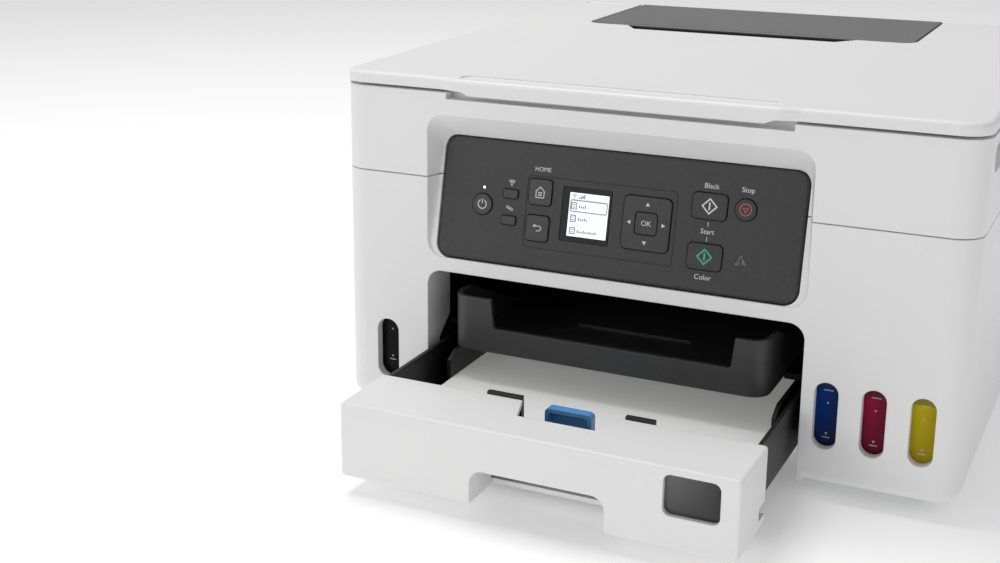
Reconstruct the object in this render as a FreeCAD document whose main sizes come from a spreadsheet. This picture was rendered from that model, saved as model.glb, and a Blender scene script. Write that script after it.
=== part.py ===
import FreeCAD, Part
import Sketcher
import math
import os
import re

# Inkjet printer with a flatbed scanner, a paper cassette and refillable ink tanks.
# Millimetres, +Z up, the front looks along -Y. Lengths along Y in the sizes and the
# outlines below start at the front face of the housing, and heights at the floor.
# The origin is on the floor, under the middle of the printer with its cassette pulled out.

Vector = FreeCAD.Vector
doc = FreeCAD.newDocument("inkjet_printer")

sizes = {
    # whole printer
    "body_width": 399, "body_depth": 410, "body_height": 234,
    "floor_gap": 11, "split_height": 169.1, "split_gap": 0.6, "unit_top": "=body_height - 9.4",
    "lid_gap": 2, "wall": 3, "corner_round": 16, "low_round": 8, "back_bulge": 12,
    "fit_gap": 0.4,
    # opening and control panel share one centre line, left of the middle
    "feature_centre": -14.6, "opening_width": 245.4, "opening_top": 108.1,
    "opening_round": 10, "collar_wall": 3, "collar_depth": 32, "collar_low_depth": 17,
    "collar_step": 69, "collar_slant": 13,
    "recess_low": 117.3, "recess_top": 210.3, "recess_depth": 17, "recess_side": 5.2,
    "panel_tilt": 12, "panel_width": 233.5, "panel_length": 78.6, "panel_round": 9,
    "panel_skin": 2.5, "panel_edge": 2, "panel_rim": 10, "panel_gap": 0.7, "panel_set_back": 0.5,
    # scanner lid and its rear cut-out for the rear tray
    "lip_left": "=feature_centre - 106.4", "lip_right": "=feature_centre + 106.6", "lip_out": 4,
    "lip_drop": 2.4, "lid_overhang": 1,
    "module_width": "=opening_width + 1.6", "module_front": "=body_depth - 132.5",
    "module_gap": 1.8, "cover_round": 12, "finger_gap": 19,
    "lid_axis_back": "=body_depth - 9.5", "lid_axis_up": "=body_height - 4.6",
    "unit_axis_back": "=body_depth - 16", "unit_axis_up": "=body_height - 19", "pin_radius": 2,
    "unit_pin_radius": 2.5,
    "running_gap": 0.06, "knuckle_radius": 4.6, "hinge_place": "=body_width / 2 - 29.5", "hinge_width": 36,
    # scanner
    "glass_width": 312, "glass_depth": 222, "glass_front": 26, "glass_thick": 2.8,
    "scan_bar_width": 22, "scan_bar_low": "=unit_top - 24.6", "scan_bar_high": "=unit_top - 12.6",
    "scan_park": -135,
    # paper cassette
    "cassette_out": 115.4, "cassette_width": "=opening_width - 3", "cassette_front_depth": 50.7,
    "cassette_top": 57.9, "cassette_low": 24, "cassette_length": "=body_depth - 40", "shell_wall": 3.2,
    "notch_width": 82, "notch_top": 32, "notch_depth": 30.5, "notch_centre": "=feature_centre + 4.6",
    "tray_wall": 2.4, "tray_start": 31, "paper_width": 210, "paper_length": "=cassette_length - 73",
    "paper_front": 67, "paper_low": 27, "paper_top": 38.6, "paper_centre": "=feature_centre + 2.2",
    "lever_width": 29.5, "lever_front": 58, "lever_top": 52.8, "guide_thick": 2.6,
    # output tray
    "output_width": 206, "output_low": 60, "output_lip": 76, "output_top": 95,
    "output_front": -5, "output_back": 230, "output_wall": 3, "output_round": 12,
    # ink tanks
    "tank_low": 22, "tank_top": 112, "tank_front": 9, "tank_back": 150,
    # the three colour tanks share the room right of the opening, the black one fills the left
    "tank_edge": 12, "tank_gap": 7.4, "tank_clear": 4.6,
    "tank_room": "=body_width / 2 - tank_edge - feature_centre - opening_width / 2 - tank_clear",
    "tank_width": "=(tank_room - 2 * tank_gap) / 3",
    "black_edge": 10.5, "black_clear": 7.7,
    "black_tank_width": "=body_width / 2 + feature_centre - opening_width / 2 - black_clear - black_edge",
    "window_width": 14, "window_low": 33.6, "window_high": 75.1,
    "black_window_low": 28.2, "black_window_width": 15.8, "window_set_back": 6.2,
    "neck_radius": 6, "neck_height": 6, "cap_radius": 8.5, "cap_height": 9, "neck_place": 60,
    "tank_pitch": "=tank_width + tank_gap", "tank_inset": "=tank_edge + tank_width / 2",
    "black_inset": "=black_edge + black_tank_width / 2",
    # paper drive
    "roller_back": 262, "roller_up": 86, "roller_radius": 9, "shaft_radius": 4,
    "eject_back": 152, "eject_up": "=opening_top - 10.6", "eject_radius": 4.8,
    "gear_teeth": 40, "pinion_teeth": 20, "tooth_module": 1, "mesh_gap": 0.15,
    "gear_width": 6, "gear_place": "=feature_centre + opening_width / 2 + 4.9",
    # print carriage
    "rail_front": 150, "rail_thick": 8, "rail_top": "=opening_top + 51.9", "rail_length": "=body_width - 19",
    "carriage_width": 110, "carriage_home": 130, "carriage_low": "=opening_top + 3.9",
    "carriage_top": "=rail_top - 2",
    "carriage_depth": 64,
    # keys
    "key_proud": 1, "key_edge": 0.45, "key_gap": 0.4,
    # base, frame and feet
    "base_thick": 2.5, "channel_front": 61.5, "frame_back": "=body_depth - 24",
    "foot_radius": 9, "foot_across": "=body_width - 69", "foot_front": 70, "foot_back": "=body_depth - 45",
}

sheet = doc.addObject("Spreadsheet::Sheet", "sizes")
for row, (alias, size) in enumerate(sizes.items(), start=1):
    sheet.set(f"A{row}", alias)
    sheet.set(f"B{row}", str(size))
    sheet.setAlias(f"B{row}", alias)
doc.recompute()

# the front face of the housing, as a place along Y in the printer's own frame
front_face = "-(body_depth - cassette_out) / 2"
cassette_face = "-(body_depth - cassette_out) / 2 - cassette_out"

# edges that several pieces share
side = "body_width / 2"
housing_back = "body_depth - back_bulge"
lid_low = "unit_top + lid_gap"
opening_left = "feature_centre - opening_width / 2"
opening_right = "feature_centre + opening_width / 2"
collar_left = "feature_centre - opening_width / 2 - collar_wall"
collar_right = "feature_centre + opening_width / 2 + collar_wall"
module_left = "feature_centre - module_width / 2"
module_right = "feature_centre + module_width / 2"

nodes = []


def full(text):
    """Give each alias in an expression its sheet's name."""
    return re.sub(r"[a-z_]+", lambda m: "sizes." + m.group() if m.group() in sizes else m.group(), text)


def number(text):
    """The value of an expression, for the first guess that the sketch solver starts from."""
    return float(sheet.evalExpression(full(text)))


def bind(thing, place, text):
    thing.setExpression(place, full(text))


def keep(thing, name):
    """List an object as one finished sub-part."""
    thing.Label = name
    nodes.append(thing)
    return thing


def new_body(name, base=("0", front_face, "0")):
    """An empty body whose own origin stands at base in the printer's frame."""
    body = doc.addObject("PartDesign::Body", name)
    for axis, text in zip("xyz", base):
        bind(body, f"Placement.Base.{axis}", text)
    return keep(body, name)


def panel_body(name):
    """A body in the tilted frame of the control panel: X across, Y up the panel, Z out of it."""
    body = doc.addObject("PartDesign::Body", name)
    body.Placement = FreeCAD.Placement(Vector(), FreeCAD.Rotation(Vector(1, 0, 0), 78))
    bind(body, "Placement.Base.x", "feature_centre")
    bind(body, "Placement.Base.y", f"{front_face} + panel_set_back")
    bind(body, "Placement.Base.z", "recess_low")
    bind(body, "Placement.Rotation.Angle", "90 - panel_tilt")
    return keep(body, name)


def new_sketch(body, along, offset):
    """A sketch square to one axis of its body, at offset along the plane's own normal."""
    role = {"x": "YZ_Plane", "y": "XZ_Plane", "z": "XY_Plane"}[along]
    plane = [item for item in body.Origin.OriginFeatures if item.Role == role][0]
    sketch = body.newObject("Sketcher::SketchObject", body.Name + "_sketch")
    sketch.AttachmentSupport = [(plane, "")]
    sketch.MapMode = "FlatFace"
    bind(sketch, "AttachmentOffset.Base.z", offset)
    return sketch


def fix(sketch, kind, *where):
    """Add a constraint whose value is an expression, given last."""
    *where, text = where
    index = sketch.addConstraint(Sketcher.Constraint(kind, *where, number(text)))
    bind(sketch, f"Constraints[{index}]", text)


def draw_outline(sketch, points):
    """A closed outline of straight lines through points given as pairs of expressions."""
    places = [Vector(number(a), number(b), 0) for a, b in points]
    count = len(places)
    for i in range(count):
        sketch.addGeometry(Part.LineSegment(places[i], places[(i + 1) % count]), False)
    for i in range(count):
        sketch.addConstraint(Sketcher.Constraint("Coincident", i, 2, (i + 1) % count, 1))
    for i, (a, b) in enumerate(points):
        fix(sketch, "DistanceX", -1, 1, i, 1, a)
        fix(sketch, "DistanceY", -1, 1, i, 1, b)


def draw_rounded(sketch, left, right, low, high, radius):
    """A rectangle with its four corners rounded."""
    x0, x1, y0, y1, r = (number(text) for text in (left, right, low, high, radius))
    corners = [(x1 - r, y0 + r, -90), (x1 - r, y1 - r, 0), (x0 + r, y1 - r, 90), (x0 + r, y0 + r, 180)]
    lines = [((x0 + r, y0), (x1 - r, y0)), ((x1, y0 + r), (x1, y1 - r)),
             ((x1 - r, y1), (x0 + r, y1)), ((x0, y1 - r), (x0, y0 + r))]
    for (start, end), (cx, cy, turn) in zip(lines, corners):
        sketch.addGeometry(Part.LineSegment(Vector(*start, 0), Vector(*end, 0)), False)
        circle = Part.Circle(Vector(cx, cy, 0), Vector(0, 0, 1), r)
        low_angle, high_angle = math.radians(turn), math.radians(turn + 90)
        sketch.addGeometry(Part.ArcOfCircle(circle, low_angle, high_angle), False)
    for i in range(8):
        sketch.addConstraint(Sketcher.Constraint("Tangent", i, 2, (i + 1) % 8, 1))
    for i, kind in ((0, "Horizontal"), (4, "Horizontal"), (2, "Vertical"), (6, "Vertical")):
        sketch.addConstraint(Sketcher.Constraint(kind, i))
    for i in (3, 5, 7):
        sketch.addConstraint(Sketcher.Constraint("Equal", 1, i))
    fix(sketch, "Radius", 1, radius)
    fix(sketch, "DistanceX", -1, 1, 6, 1, left)
    fix(sketch, "DistanceX", -1, 1, 2, 1, right)
    fix(sketch, "DistanceY", -1, 1, 0, 1, low)
    fix(sketch, "DistanceY", -1, 1, 4, 1, high)


def extrude(body, work, along, span, draw):
    """Add or cut what draw() sketches, between two places along an axis."""
    low, high = span
    adds = work == "add"
    if along == "y":
        offset = f"-({high})" if adds else f"-({low})"
    else:
        offset = low if adds else high
    sketch = new_sketch(body, along, offset)
    draw(sketch)
    kind = "PartDesign::Pad" if adds else "PartDesign::Pocket"
    feature = body.newObject(kind, body.Name + "_" + work)
    feature.Profile = sketch
    bind(feature, "Length", f"({high}) - ({low})")
    return feature


def box(body, work, x, y, z, along="z", radius=None):
    """A block between pairs of places on the three axes, with rounded corners along one."""
    spans = {"x": x, "y": y, "z": z}
    span = spans.pop(along)
    (left, right), (low, high) = spans.values()

    def draw(sketch):
        if radius is None:
            draw_outline(sketch, [(left, low), (right, low), (right, high), (left, high)])
        else:
            draw_rounded(sketch, left, right, low, high, radius)

    return extrude(body, work, along, span, draw)


def disc(body, work, along, centre, radius, span):
    """A round boss or hole along one axis."""
    across, up = centre

    def draw(sketch):
        place = Vector(number(across), number(up), 0)
        sketch.addGeometry(Part.Circle(place, Vector(0, 0, 1), number(radius)), False)
        fix(sketch, "DistanceX", -1, 1, 0, 3, across)
        fix(sketch, "DistanceY", -1, 1, 0, 3, up)
        fix(sketch, "Radius", 0, radius)

    return extrude(body, work, along, span, draw)


def shape(body, work, along, points, span):
    """An outline of straight lines, pulled along one axis."""
    return extrude(body, work, along, span, lambda sketch: draw_outline(sketch, points))


def round_edges(body, radius, chosen):
    """Fillet the edges that chosen() picks by the middle and the ends of each."""
    doc.recompute()
    tip = body.Tip
    names = []
    for index, edge in enumerate(tip.Shape.Edges, start=1):
        ends = [vertex.Point for vertex in edge.Vertexes]
        if chosen(edge.CenterOfMass, ends):
            names.append(f"Edge{index}")
    fillet = body.newObject("PartDesign::Fillet", body.Name + "_round")
    fillet.Base = (tip, names)
    bind(fillet, "Radius", radius)
    return fillet


def at_height(text):
    """Picks every edge that lies flat at one height."""
    height = number(text)
    return lambda middle, ends: all(abs(point.z - height) < 0.01 for point in ends + [middle])


def loft_pocket(body, near, far):
    """Cut a recess whose walls run from one rounded rectangle to a smaller one behind it."""
    sketches = []
    for offset, outline in (near, far):
        sketch = new_sketch(body, "y", f"-({offset})")
        draw_rounded(sketch, *outline)
        sketches.append(sketch)
    loft = body.newObject("PartDesign::SubtractiveLoft", body.Name + "_recess")
    loft.Profile = sketches[0]
    loft.Sections = [sketches[1]]
    loft.Ruled = True
    return loft


def primitive(kind, name, dims, base, turn=None):
    """A Part primitive with its sizes and its place bound to the sheet."""
    thing = doc.addObject(kind, name)
    if turn:
        axis, angle = turn
        thing.Placement = FreeCAD.Placement(Vector(), FreeCAD.Rotation(axis, angle))
    for place, text in dims.items():
        bind(thing, place, text)
    for axis, text in zip("xyz", base):
        bind(thing, f"Placement.Base.{axis}", f"{front_face} + {text}" if axis == "y" else text)
    return thing


along_x = (Vector(0, 1, 0), 90)
along_y = (Vector(1, 0, 0), -90)


def cylinder(name, radius, length, base, turn=None):
    return primitive("Part::Cylinder", name, {"Radius": radius, "Height": length}, base, turn)


def block(name, x, y, z):
    dims = {"Length": f"({x[1]}) - ({x[0]})", "Width": f"({y[1]}) - ({y[0]})",
            "Height": f"({z[1]}) - ({z[0]})"}
    return primitive("Part::Box", name, dims, (x[0], f"({y[0]})", z[0]))


def joined(name, pieces):
    group = doc.addObject("Part::MultiFuse", name)
    group.Shapes = pieces
    return keep(group, name)


# ---------------------------------------------------------------- housings

def recess_outlines():
    """The mouth and the floor of the recess around the control panel."""
    left, right = opening_left, opening_right
    mouth = ("0", (left, right, "recess_low", "recess_top", "panel_round + 2"))
    floor_top = "recess_low + (panel_length + panel_gap) * cos(panel_tilt)"
    floor = ("recess_depth", (f"{left} + recess_side", f"{right} - recess_side",
                              "recess_low", floor_top, "panel_round"))
    return mouth, floor


def panel_seat(body):
    """Cut the tilted hole that the control panel stands in, right through."""
    sketch = new_sketch(body, "y", "-panel_set_back")
    tilt = FreeCAD.Rotation(Vector(1, 0, 0), -12)
    sketch.AttachmentOffset = FreeCAD.Placement(Vector(), tilt)
    bind(sketch, "AttachmentOffset.Base.y", "recess_low")
    bind(sketch, "AttachmentOffset.Rotation.Angle", "-panel_tilt")
    draw_rounded(sketch, "feature_centre - panel_width / 2 - panel_gap",
                 "feature_centre + panel_width / 2 + panel_gap",
                 "0.8 - panel_gap", "panel_length + 0.8 + panel_gap", "panel_round + panel_gap")
    pocket = body.newObject("PartDesign::Pocket", body.Name + "_seat")
    pocket.Profile = sketch
    bind(pocket, "Length", "collar_depth * 2")


def leaning_floor(body, low, high):
    """The floor of the recess: solid behind the plane of the control panel."""
    slope = "tan(panel_tilt)"
    shape(body, "add", "x", [
        (f"panel_set_back + (({low}) - recess_low) * {slope}", low),
        ("collar_depth", low), ("collar_depth", high),
        (f"panel_set_back + (({high}) - recess_low) * {slope}", high)],
        (opening_left, opening_right))


def stadium(body, centre, width, low, high):
    """Cut one ink window through the front wall."""
    box(body, "cut", (f"{centre} - {width} / 2", f"{centre} + {width} / 2"),
        ("-1", "window_set_back + 2"), (low, high), "y", f"{width} / 2 - 0.05")


ink_places = {"cyan": f"{side} - tank_inset - 2 * tank_pitch", "magenta": f"{side} - tank_inset - tank_pitch",
              "yellow": f"{side} - tank_inset"}
black_place = f"black_inset - {side}"


def lower_housing():
    body = new_body("lower_housing")
    box(body, "add", (f"-{side}", side), ("0", housing_back), ("floor_gap", "split_height"),
        "z", "corner_round")
    round_edges(body, "low_round", at_height("floor_gap"))
    box(body, "cut", (f"wall - {side}", f"{side} - wall"), ("wall", f"{housing_back} - wall"),
        ("floor_gap + wall", "split_height"), "z", "corner_round - wall")
    box(body, "cut", (f"14 - {side}", f"{side} - 14"), ("14", f"{housing_back} - 14"),
        ("floor_gap", "floor_gap + wall"), "z", "corner_round - 12")
    # collar round the front opening and the lower half of the control panel
    box(body, "add", (collar_left, collar_right), ("0", "collar_depth"),
        ("collar_step", "split_height"))
    box(body, "add", (collar_left, collar_right), ("0", "collar_low_depth"),
        ("floor_gap", "collar_step + 1"))
    shape(body, "add", "x", [
        ("collar_low_depth - 1", "collar_step - collar_slant"),
        ("collar_low_depth", "collar_step - collar_slant"),
        ("collar_depth", "collar_step"), ("collar_depth", "collar_step + 1"),
        ("collar_low_depth - 1", "collar_step + 1")], (collar_left, collar_right))
    box(body, "cut", (opening_left, opening_right), ("-1", "60"), ("0", "opening_top"),
        "y", "opening_round")
    box(body, "cut", (opening_left, opening_right), ("-1", "60"), ("0", "floor_gap + 20"))
    loft_pocket(body, *recess_outlines())
    leaning_floor(body, "recess_low", "split_height")
    panel_seat(body)
    # raised wells behind the ink windows
    for centre in ink_places.values():
        box(body, "add", (f"{centre} - window_width / 2 - 2", f"{centre} + window_width / 2 + 2"),
            ("1", "window_set_back"), ("window_low - 2", "window_high + 2"), "y", "window_width / 2 + 1.9")
        stadium(body, centre, "window_width", "window_low", "window_high")
    box(body, "add",
        (f"{black_place} - black_window_width / 2 - 2", f"{black_place} + black_window_width / 2 + 2"),
        ("1", "window_set_back"), ("black_window_low - 2", "black_window_low + 43.2"),
        "y", "black_window_width / 2 + 1.9")
    stadium(body, black_place, "black_window_width", "black_window_low", "black_window_low + 41.2")
    # openings in the back wall
    box(body, "cut", ("feature_centre - 97.4", "feature_centre + 96.6"),
        (f"{housing_back} - 10", f"{housing_back} + 1"),
        ("74", "split_height - 13.1"),
        "y", "6")
    box(body, "cut", (f"13.5 - {side}", f"41.5 - {side}"), (f"{housing_back} - 10", f"{housing_back} + 1"),
        ("28", "50"),
        "y", "3")
    box(body, "cut", (f"{side} - 49.5", f"{side} - 27.5"), (f"{housing_back} - 10", f"{housing_back} + 1"),
        ("opening_top - 8.1", "opening_top + 7.9"),
        "y", "1.5")
    # rows of cooling slots on the left and right walls
    for index in range(9):
        start = f"{housing_back} - {148 - index * 12}"
        box(body, "cut", (f"-{side} - 1", f"{side} + 1"), (start, f"{start} + 5"), ("40", "72"),
            "x", "2.4")


def upper_housing():
    body = new_body("upper_housing")
    low = "split_height + split_gap"
    box(body, "add", (f"-{side}", side), ("0", housing_back), (low, "unit_top"), "z", "corner_round")
    box(body, "cut", (f"wall - {side}", f"{side} - wall"), ("wall", f"{housing_back} - wall"),
        (low, "unit_top - wall"), "z", "corner_round - wall")
    box(body, "add", (collar_left, collar_right), ("0", "collar_depth"), (low, "unit_top"))
    # rear cut-out for the rear tray, with its own walls
    box(body, "add", (f"{module_left} - module_gap - wall", f"{module_right} + module_gap + wall"),
        ("module_front - module_gap - finger_gap - wall", housing_back), (low, "unit_top"))
    box(body, "cut", (f"{module_left} - module_gap", f"{module_right} + module_gap"),
        ("module_front - module_gap - finger_gap", f"{housing_back} + 1"), (f"{low} - 1", "unit_top + 1"))
    loft_pocket(body, *recess_outlines())
    leaning_floor(body, low, "recess_low + (panel_length + panel_gap) * cos(panel_tilt)")
    panel_seat(body)
    # window for the glass, with a ledge under it
    box(body, "cut", ("-glass_width / 2 - fit_gap", "glass_width / 2 + fit_gap"),
        ("glass_front - fit_gap", "glass_front + glass_depth + fit_gap"),
        ("unit_top - glass_thick", "unit_top + 1"))
    box(body, "cut", ("-glass_width / 2 + 5", "glass_width / 2 - 5"),
        ("glass_front + 8", "glass_front + glass_depth - 5"), ("unit_top - 30", "unit_top"))
    # relief under the lid's front lip
    box(body, "cut", ("lip_left - 3", "lip_right + 3"), ("-1", "lip_out + 5"),
        ("unit_top - lip_drop - 1.6", "unit_top + 1"), "y")
    # scooped handholds in both sides
    for low_x, high_x in ((f"{side} - 12", f"{side} + 1"), (f"-{side} - 1", f"12 - {side}")):
        inner = (f"{side} - 14", f"{side}") if low_x.startswith("body") else (f"-{side}", f"14 - {side}")
        box(body, "add", inner, ("22", "112"), ("unit_top - 26.6", "unit_top - wall"))
        box(body, "cut", (low_x, high_x), ("25", "109"), ("unit_top - 23.1", "unit_top - 7"), "x", "7.9")
    # bores for the two hinge pins of the scanner unit
    disc(body, "cut", "x", ("unit_axis_back", "unit_axis_up"), "unit_pin_radius + running_gap",
         (f"{module_left} - 30", f"{module_right} + 30"))


def scanner_lid():
    body = new_body("scanner_lid")
    box(body, "add", (f"-{side}", side), ("-lid_overhang", "body_depth - 6"), (lid_low, "body_height"),
        "z", "corner_round")
    # front lip, a little lower and further out than the rest
    shape(body, "add", "z", [
        ("lip_left - 5", "-lid_overhang"), ("lip_left + 5", "-lip_out"), ("lip_right - 5", "-lip_out"),
        ("lip_right + 5", "-lid_overhang"), ("lip_right + 5", "5"), ("lip_left - 5", "5")],
        (lid_low, "body_height"))
    flat_end = number(f"{side} - corner_round - 10")
    round_edges(body, "16", lambda middle, ends: middle.y < 1 and abs(middle.x) < flat_end
                and abs(ends[0].z - ends[1].z) > 1)
    round_edges(body, "3", at_height("body_height"))
    shape(body, "add", "y", [
        ("lip_left + 7.5", "body_height - 4"), ("lip_left + 7.5", lid_low),
        ("lip_left + 10", f"{lid_low} - lip_drop * 0.35"), ("lip_left + 14", f"{lid_low} - lip_drop"),
        ("lip_right - 14", f"{lid_low} - lip_drop"), ("lip_right - 10", f"{lid_low} - lip_drop * 0.35"),
        ("lip_right - 7.5", lid_low), ("lip_right - 7.5", "body_height - 4")],
        ("-lip_out", "-lid_overhang + 1"))
    # long shallow finger groove behind the lip
    box(body, "cut", ("lip_left + 4", "lip_right - 6"), ("1", "13.5"),
        ("body_height - 0.9", "body_height + 1"),
        "z", "6.2")
    round_edges(body, "0.7", at_height("body_height - 0.9"))
    # rear cut-out round the rear tray cover, with a finger gap in front of it
    box(body, "cut", (f"{module_left} - module_gap", f"{module_right} + module_gap"),
        ("module_front - module_gap", "body_depth + 10"), (f"{lid_low} - 1", "body_height + 1"), "z",
        "cover_round")
    box(body, "cut", (f"{module_left} - module_gap", f"{module_right} + module_gap"),
        ("body_depth - 30", "body_depth + 10"), (f"{lid_low} - 1", "body_height + 1"))
    shape(body, "cut", "z", [
        ("feature_centre - 92.4", "module_front"), ("feature_centre - 80", "module_front - finger_gap"),
        ("feature_centre + 72", "module_front - finger_gap"), ("feature_centre + 85.6", "module_front")],
        (f"{lid_low} - 1", "body_height + 1"))
    # notches and bores for the hinges
    for sign in ("-", ""):
        place = f"{sign}hinge_place"
        box(body, "cut", (f"{place} - hinge_width / 2", f"{place} + hinge_width / 2"),
            ("lid_axis_back - knuckle_radius - 1.5", "body_depth + 10"),
            (f"{lid_low} - 1", "body_height + 1"))
        disc(body, "cut", "x", ("lid_axis_back", "lid_axis_up"), "pin_radius + running_gap",
             (f"{place} - hinge_width / 2 - 6", f"{place} + hinge_width / 2 + 6"))


def lid_hinges():
    """Two knuckles on the scanner unit, each with a pin through it that carries the lid."""
    hinges = []
    for name, sign in (("left", "-"), ("right", "")):
        place = f"{sign}hinge_place"
        start, end = f"{place} - hinge_width / 2 + 0.5", f"{place} + hinge_width / 2 - 0.5"
        axis = ("lid_axis_back", "lid_axis_up")
        knuckle = cylinder(f"{name}_knuckle", "knuckle_radius", "hinge_width - 1", (start, *axis), along_x)
        neck = block(f"{name}_neck", (start, end),
                     ("lid_axis_back - knuckle_radius + 0.6", housing_back), ("unit_top", "lid_axis_up"))
        pin = cylinder(f"{name}_pin", "pin_radius", "hinge_width + 11",
                       (f"{place} - hinge_width / 2 - 5.5", *axis), along_x)
        arm = doc.addObject("Part::MultiFuse", f"{name}_arm")
        arm.Shapes = [knuckle, neck, pin]
        hinges.append(arm)
    joined("lid_hinges", hinges)


def unit_hinge_pins():
    pins = []
    spans = {"left": (f"{module_left} - 12", f"{module_left} + 8"),
             "right": (f"{module_right} - 8", f"{module_right} + 12")}
    for name, (start, end) in spans.items():
        pins.append(cylinder(f"{name}_unit_pin", "unit_pin_radius", f"({end}) - ({start})",
                             (start, "unit_axis_back", "unit_axis_up"), along_x))
    joined("unit_hinge_pins", pins)


def scanner_parts():
    glass = new_body("scanner_glass")
    box(glass, "add", ("-glass_width / 2", "glass_width / 2"),
        ("glass_front", "glass_front + glass_depth"), ("unit_top - glass_thick", "unit_top"))
    pad = new_body("lid_pad")
    box(pad, "add", ("-glass_width / 2 + 6", "glass_width / 2 - 6"),
        ("glass_front + 6", "glass_front + glass_depth - 6"), (f"{lid_low} - 1.6", lid_low), "z", "3")
    floor = new_body("scanner_floor")
    box(floor, "add", (f"wall - {side}", f"{side} - wall"),
        ("glass_front + 22", "module_front - module_gap - finger_gap - wall - 1"),
        ("unit_top - 38.6", "unit_top - 36.1"))
    bar = new_body("scan_bar")
    left, right = "scan_park - scan_bar_width / 2", "scan_park + scan_bar_width / 2"
    box(bar, "add", (left, right), ("glass_front + 10", "glass_front + glass_depth - 10"),
        ("scan_bar_low", "scan_bar_high"), "y", "2")
    box(bar, "cut", ("scan_park - 4", "scan_park + 4"),
        ("glass_front + 14", "glass_front + glass_depth - 14"),
        ("scan_bar_high - 2", "scan_bar_high + 1"))
    disc(bar, "cut", "x", ("glass_front + glass_depth / 2", "scan_bar_low + 4"), "3 + running_gap",
         (left, right))
    rod = cylinder("scan_rail", "3", f"2 * ({side} - wall)",
                   (f"wall - {side}", "glass_front + glass_depth / 2", "scan_bar_low + 4"), along_x)
    keep(rod, "scan_rail")


# ---------------------------------------------------------------- base and frame

def base_parts():
    base = new_body("base_plate")
    low = "floor_gap + wall"
    box(base, "add", (f"5.5 - {side}", f"{side} - 5.5"), ("6", f"{housing_back} - 5"),
        (low, f"{low} + base_thick"), "z", "10")
    box(base, "cut", (f"{collar_left} - 1", f"{collar_right} + 1"), ("5", "channel_front"),
        (f"{low} - 1", f"{low} + base_thick + 1"))
    feet = []
    for across in ("-foot_across / 2", "foot_across / 2"):
        for along in ("foot_front", "foot_back"):
            feet.append(cylinder("foot", "foot_radius", low, (across, along, "0")))
    joined("rubber_feet", feet)


def inner_frame():
    """Side plates of the paper path, with a deck over the output and ledges beside its tray."""
    body = new_body("inner_frame")
    base = "floor_gap + wall + base_thick"
    front, low_front = "collar_depth + 0.3", "collar_low_depth + 0.3"
    back, top = "frame_back", "opening_top"
    walls = ((collar_left, f"{opening_left} - 0.2"), (f"{opening_right} + 0.2", collar_right))
    box(body, "add", (collar_left, collar_right), (front, "rail_front + rail_thick"),
        (f"{top} - 4", f"{top} - 0.6"))
    for wall_span in walls:
        shape(body, "add", "x", [
            ("channel_front", base), ("channel_front", "floor_gap + 19"), (low_front, "floor_gap + 19"),
            (low_front, "collar_step - collar_slant - 0.4"),
            (front, "collar_step - 0.4"), (front, f"{top} - 0.6"), (back, f"{top} - 0.6"),
            (back, base)], wall_span)
    box(body, "add", (collar_left, collar_right), (back, f"{back} + 3"), (base, f"{top} - 0.6"))
    box(body, "add", (f"{opening_left} - 0.2", "feature_centre - output_width / 2 - 1.5"),
        (front, "output_back"), ("output_low + 1", "output_low + 5"))
    box(body, "add", ("feature_centre + output_width / 2 + 1.5", f"{opening_right} + 0.2"),
        (front, "output_back"), ("output_low + 1", "output_low + 5"))
    disc(body, "cut", "x", ("roller_back", "roller_up"), "shaft_radius + running_gap",
         (f"{collar_left} - 1", f"{collar_right} + 1"))
    disc(body, "cut", "x", ("eject_back", "eject_up"), "2 + running_gap",
         (f"{collar_left} - 1", f"{collar_right} + 1"))


# ---------------------------------------------------------------- control panel

def key(name, across, up, width, height, radius):
    """One push button: a cap that stands proud of the panel and a flange that keeps it in."""
    body = panel_body(name)
    levels = ((0, "-panel_skin - 0.3", "key_proud"), (1.2, "-panel_skin - 1.8", "-panel_skin - 0.8"))
    for spread, low, high in levels:
        box(body, "add", (f"{across} - {width} / 2 - {spread}", f"{across} + {width} / 2 + {spread}"),
            (f"{up} - {height} / 2 - {spread}", f"{up} + {height} / 2 + {spread}"),
            (low, "-panel_skin - 0.3") if spread else (low, high), "z", f"{radius} + {spread}")
    round_edges(body, "key_edge", at_height("key_proud"))
    return body


# name, place across from the centre line, place up the panel, width, height, corner radius
keys = [
    ("power_button", "-87.4", "37.2", "13.2", "13.2", "6.55"),
    ("wireless_button", "-68.7", "45.7", "10", "5.6", "1.3"),
    ("connect_button", "-68.7", "29", "10", "5.6", "1.3"),
    ("home_button", "-48.7", "48.9", "15.2", "16.2", "2.4"),
    ("back_button", "-48.7", "26.3", "15.2", "16.2", "2.4"),
    ("navigation_pad", "21.6", "37.5", "30.2", "32.6", "3.6"),
    ("mono_start_button", "59.5", "52.5", "21.2", "15.6", "3"),
    ("colour_start_button", "59.5", "22.4", "21.2", "15.6", "3"),
    ("stop_button", "81.2", "52.9", "12.8", "12.8", "6.35"),
]
ok_key = ("ok_button", "21.6", "37.5", "13.8", "13.4", "2.2")


def key_hole(body, across, up, width, height, radius, low, high):
    box(body, "cut", (f"{across} - {width} / 2 - key_gap", f"{across} + {width} / 2 + key_gap"),
        (f"{up} - {height} / 2 - key_gap", f"{up} + {height} / 2 + key_gap"), (low, high), "z",
        f"{radius} + key_gap")


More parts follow.
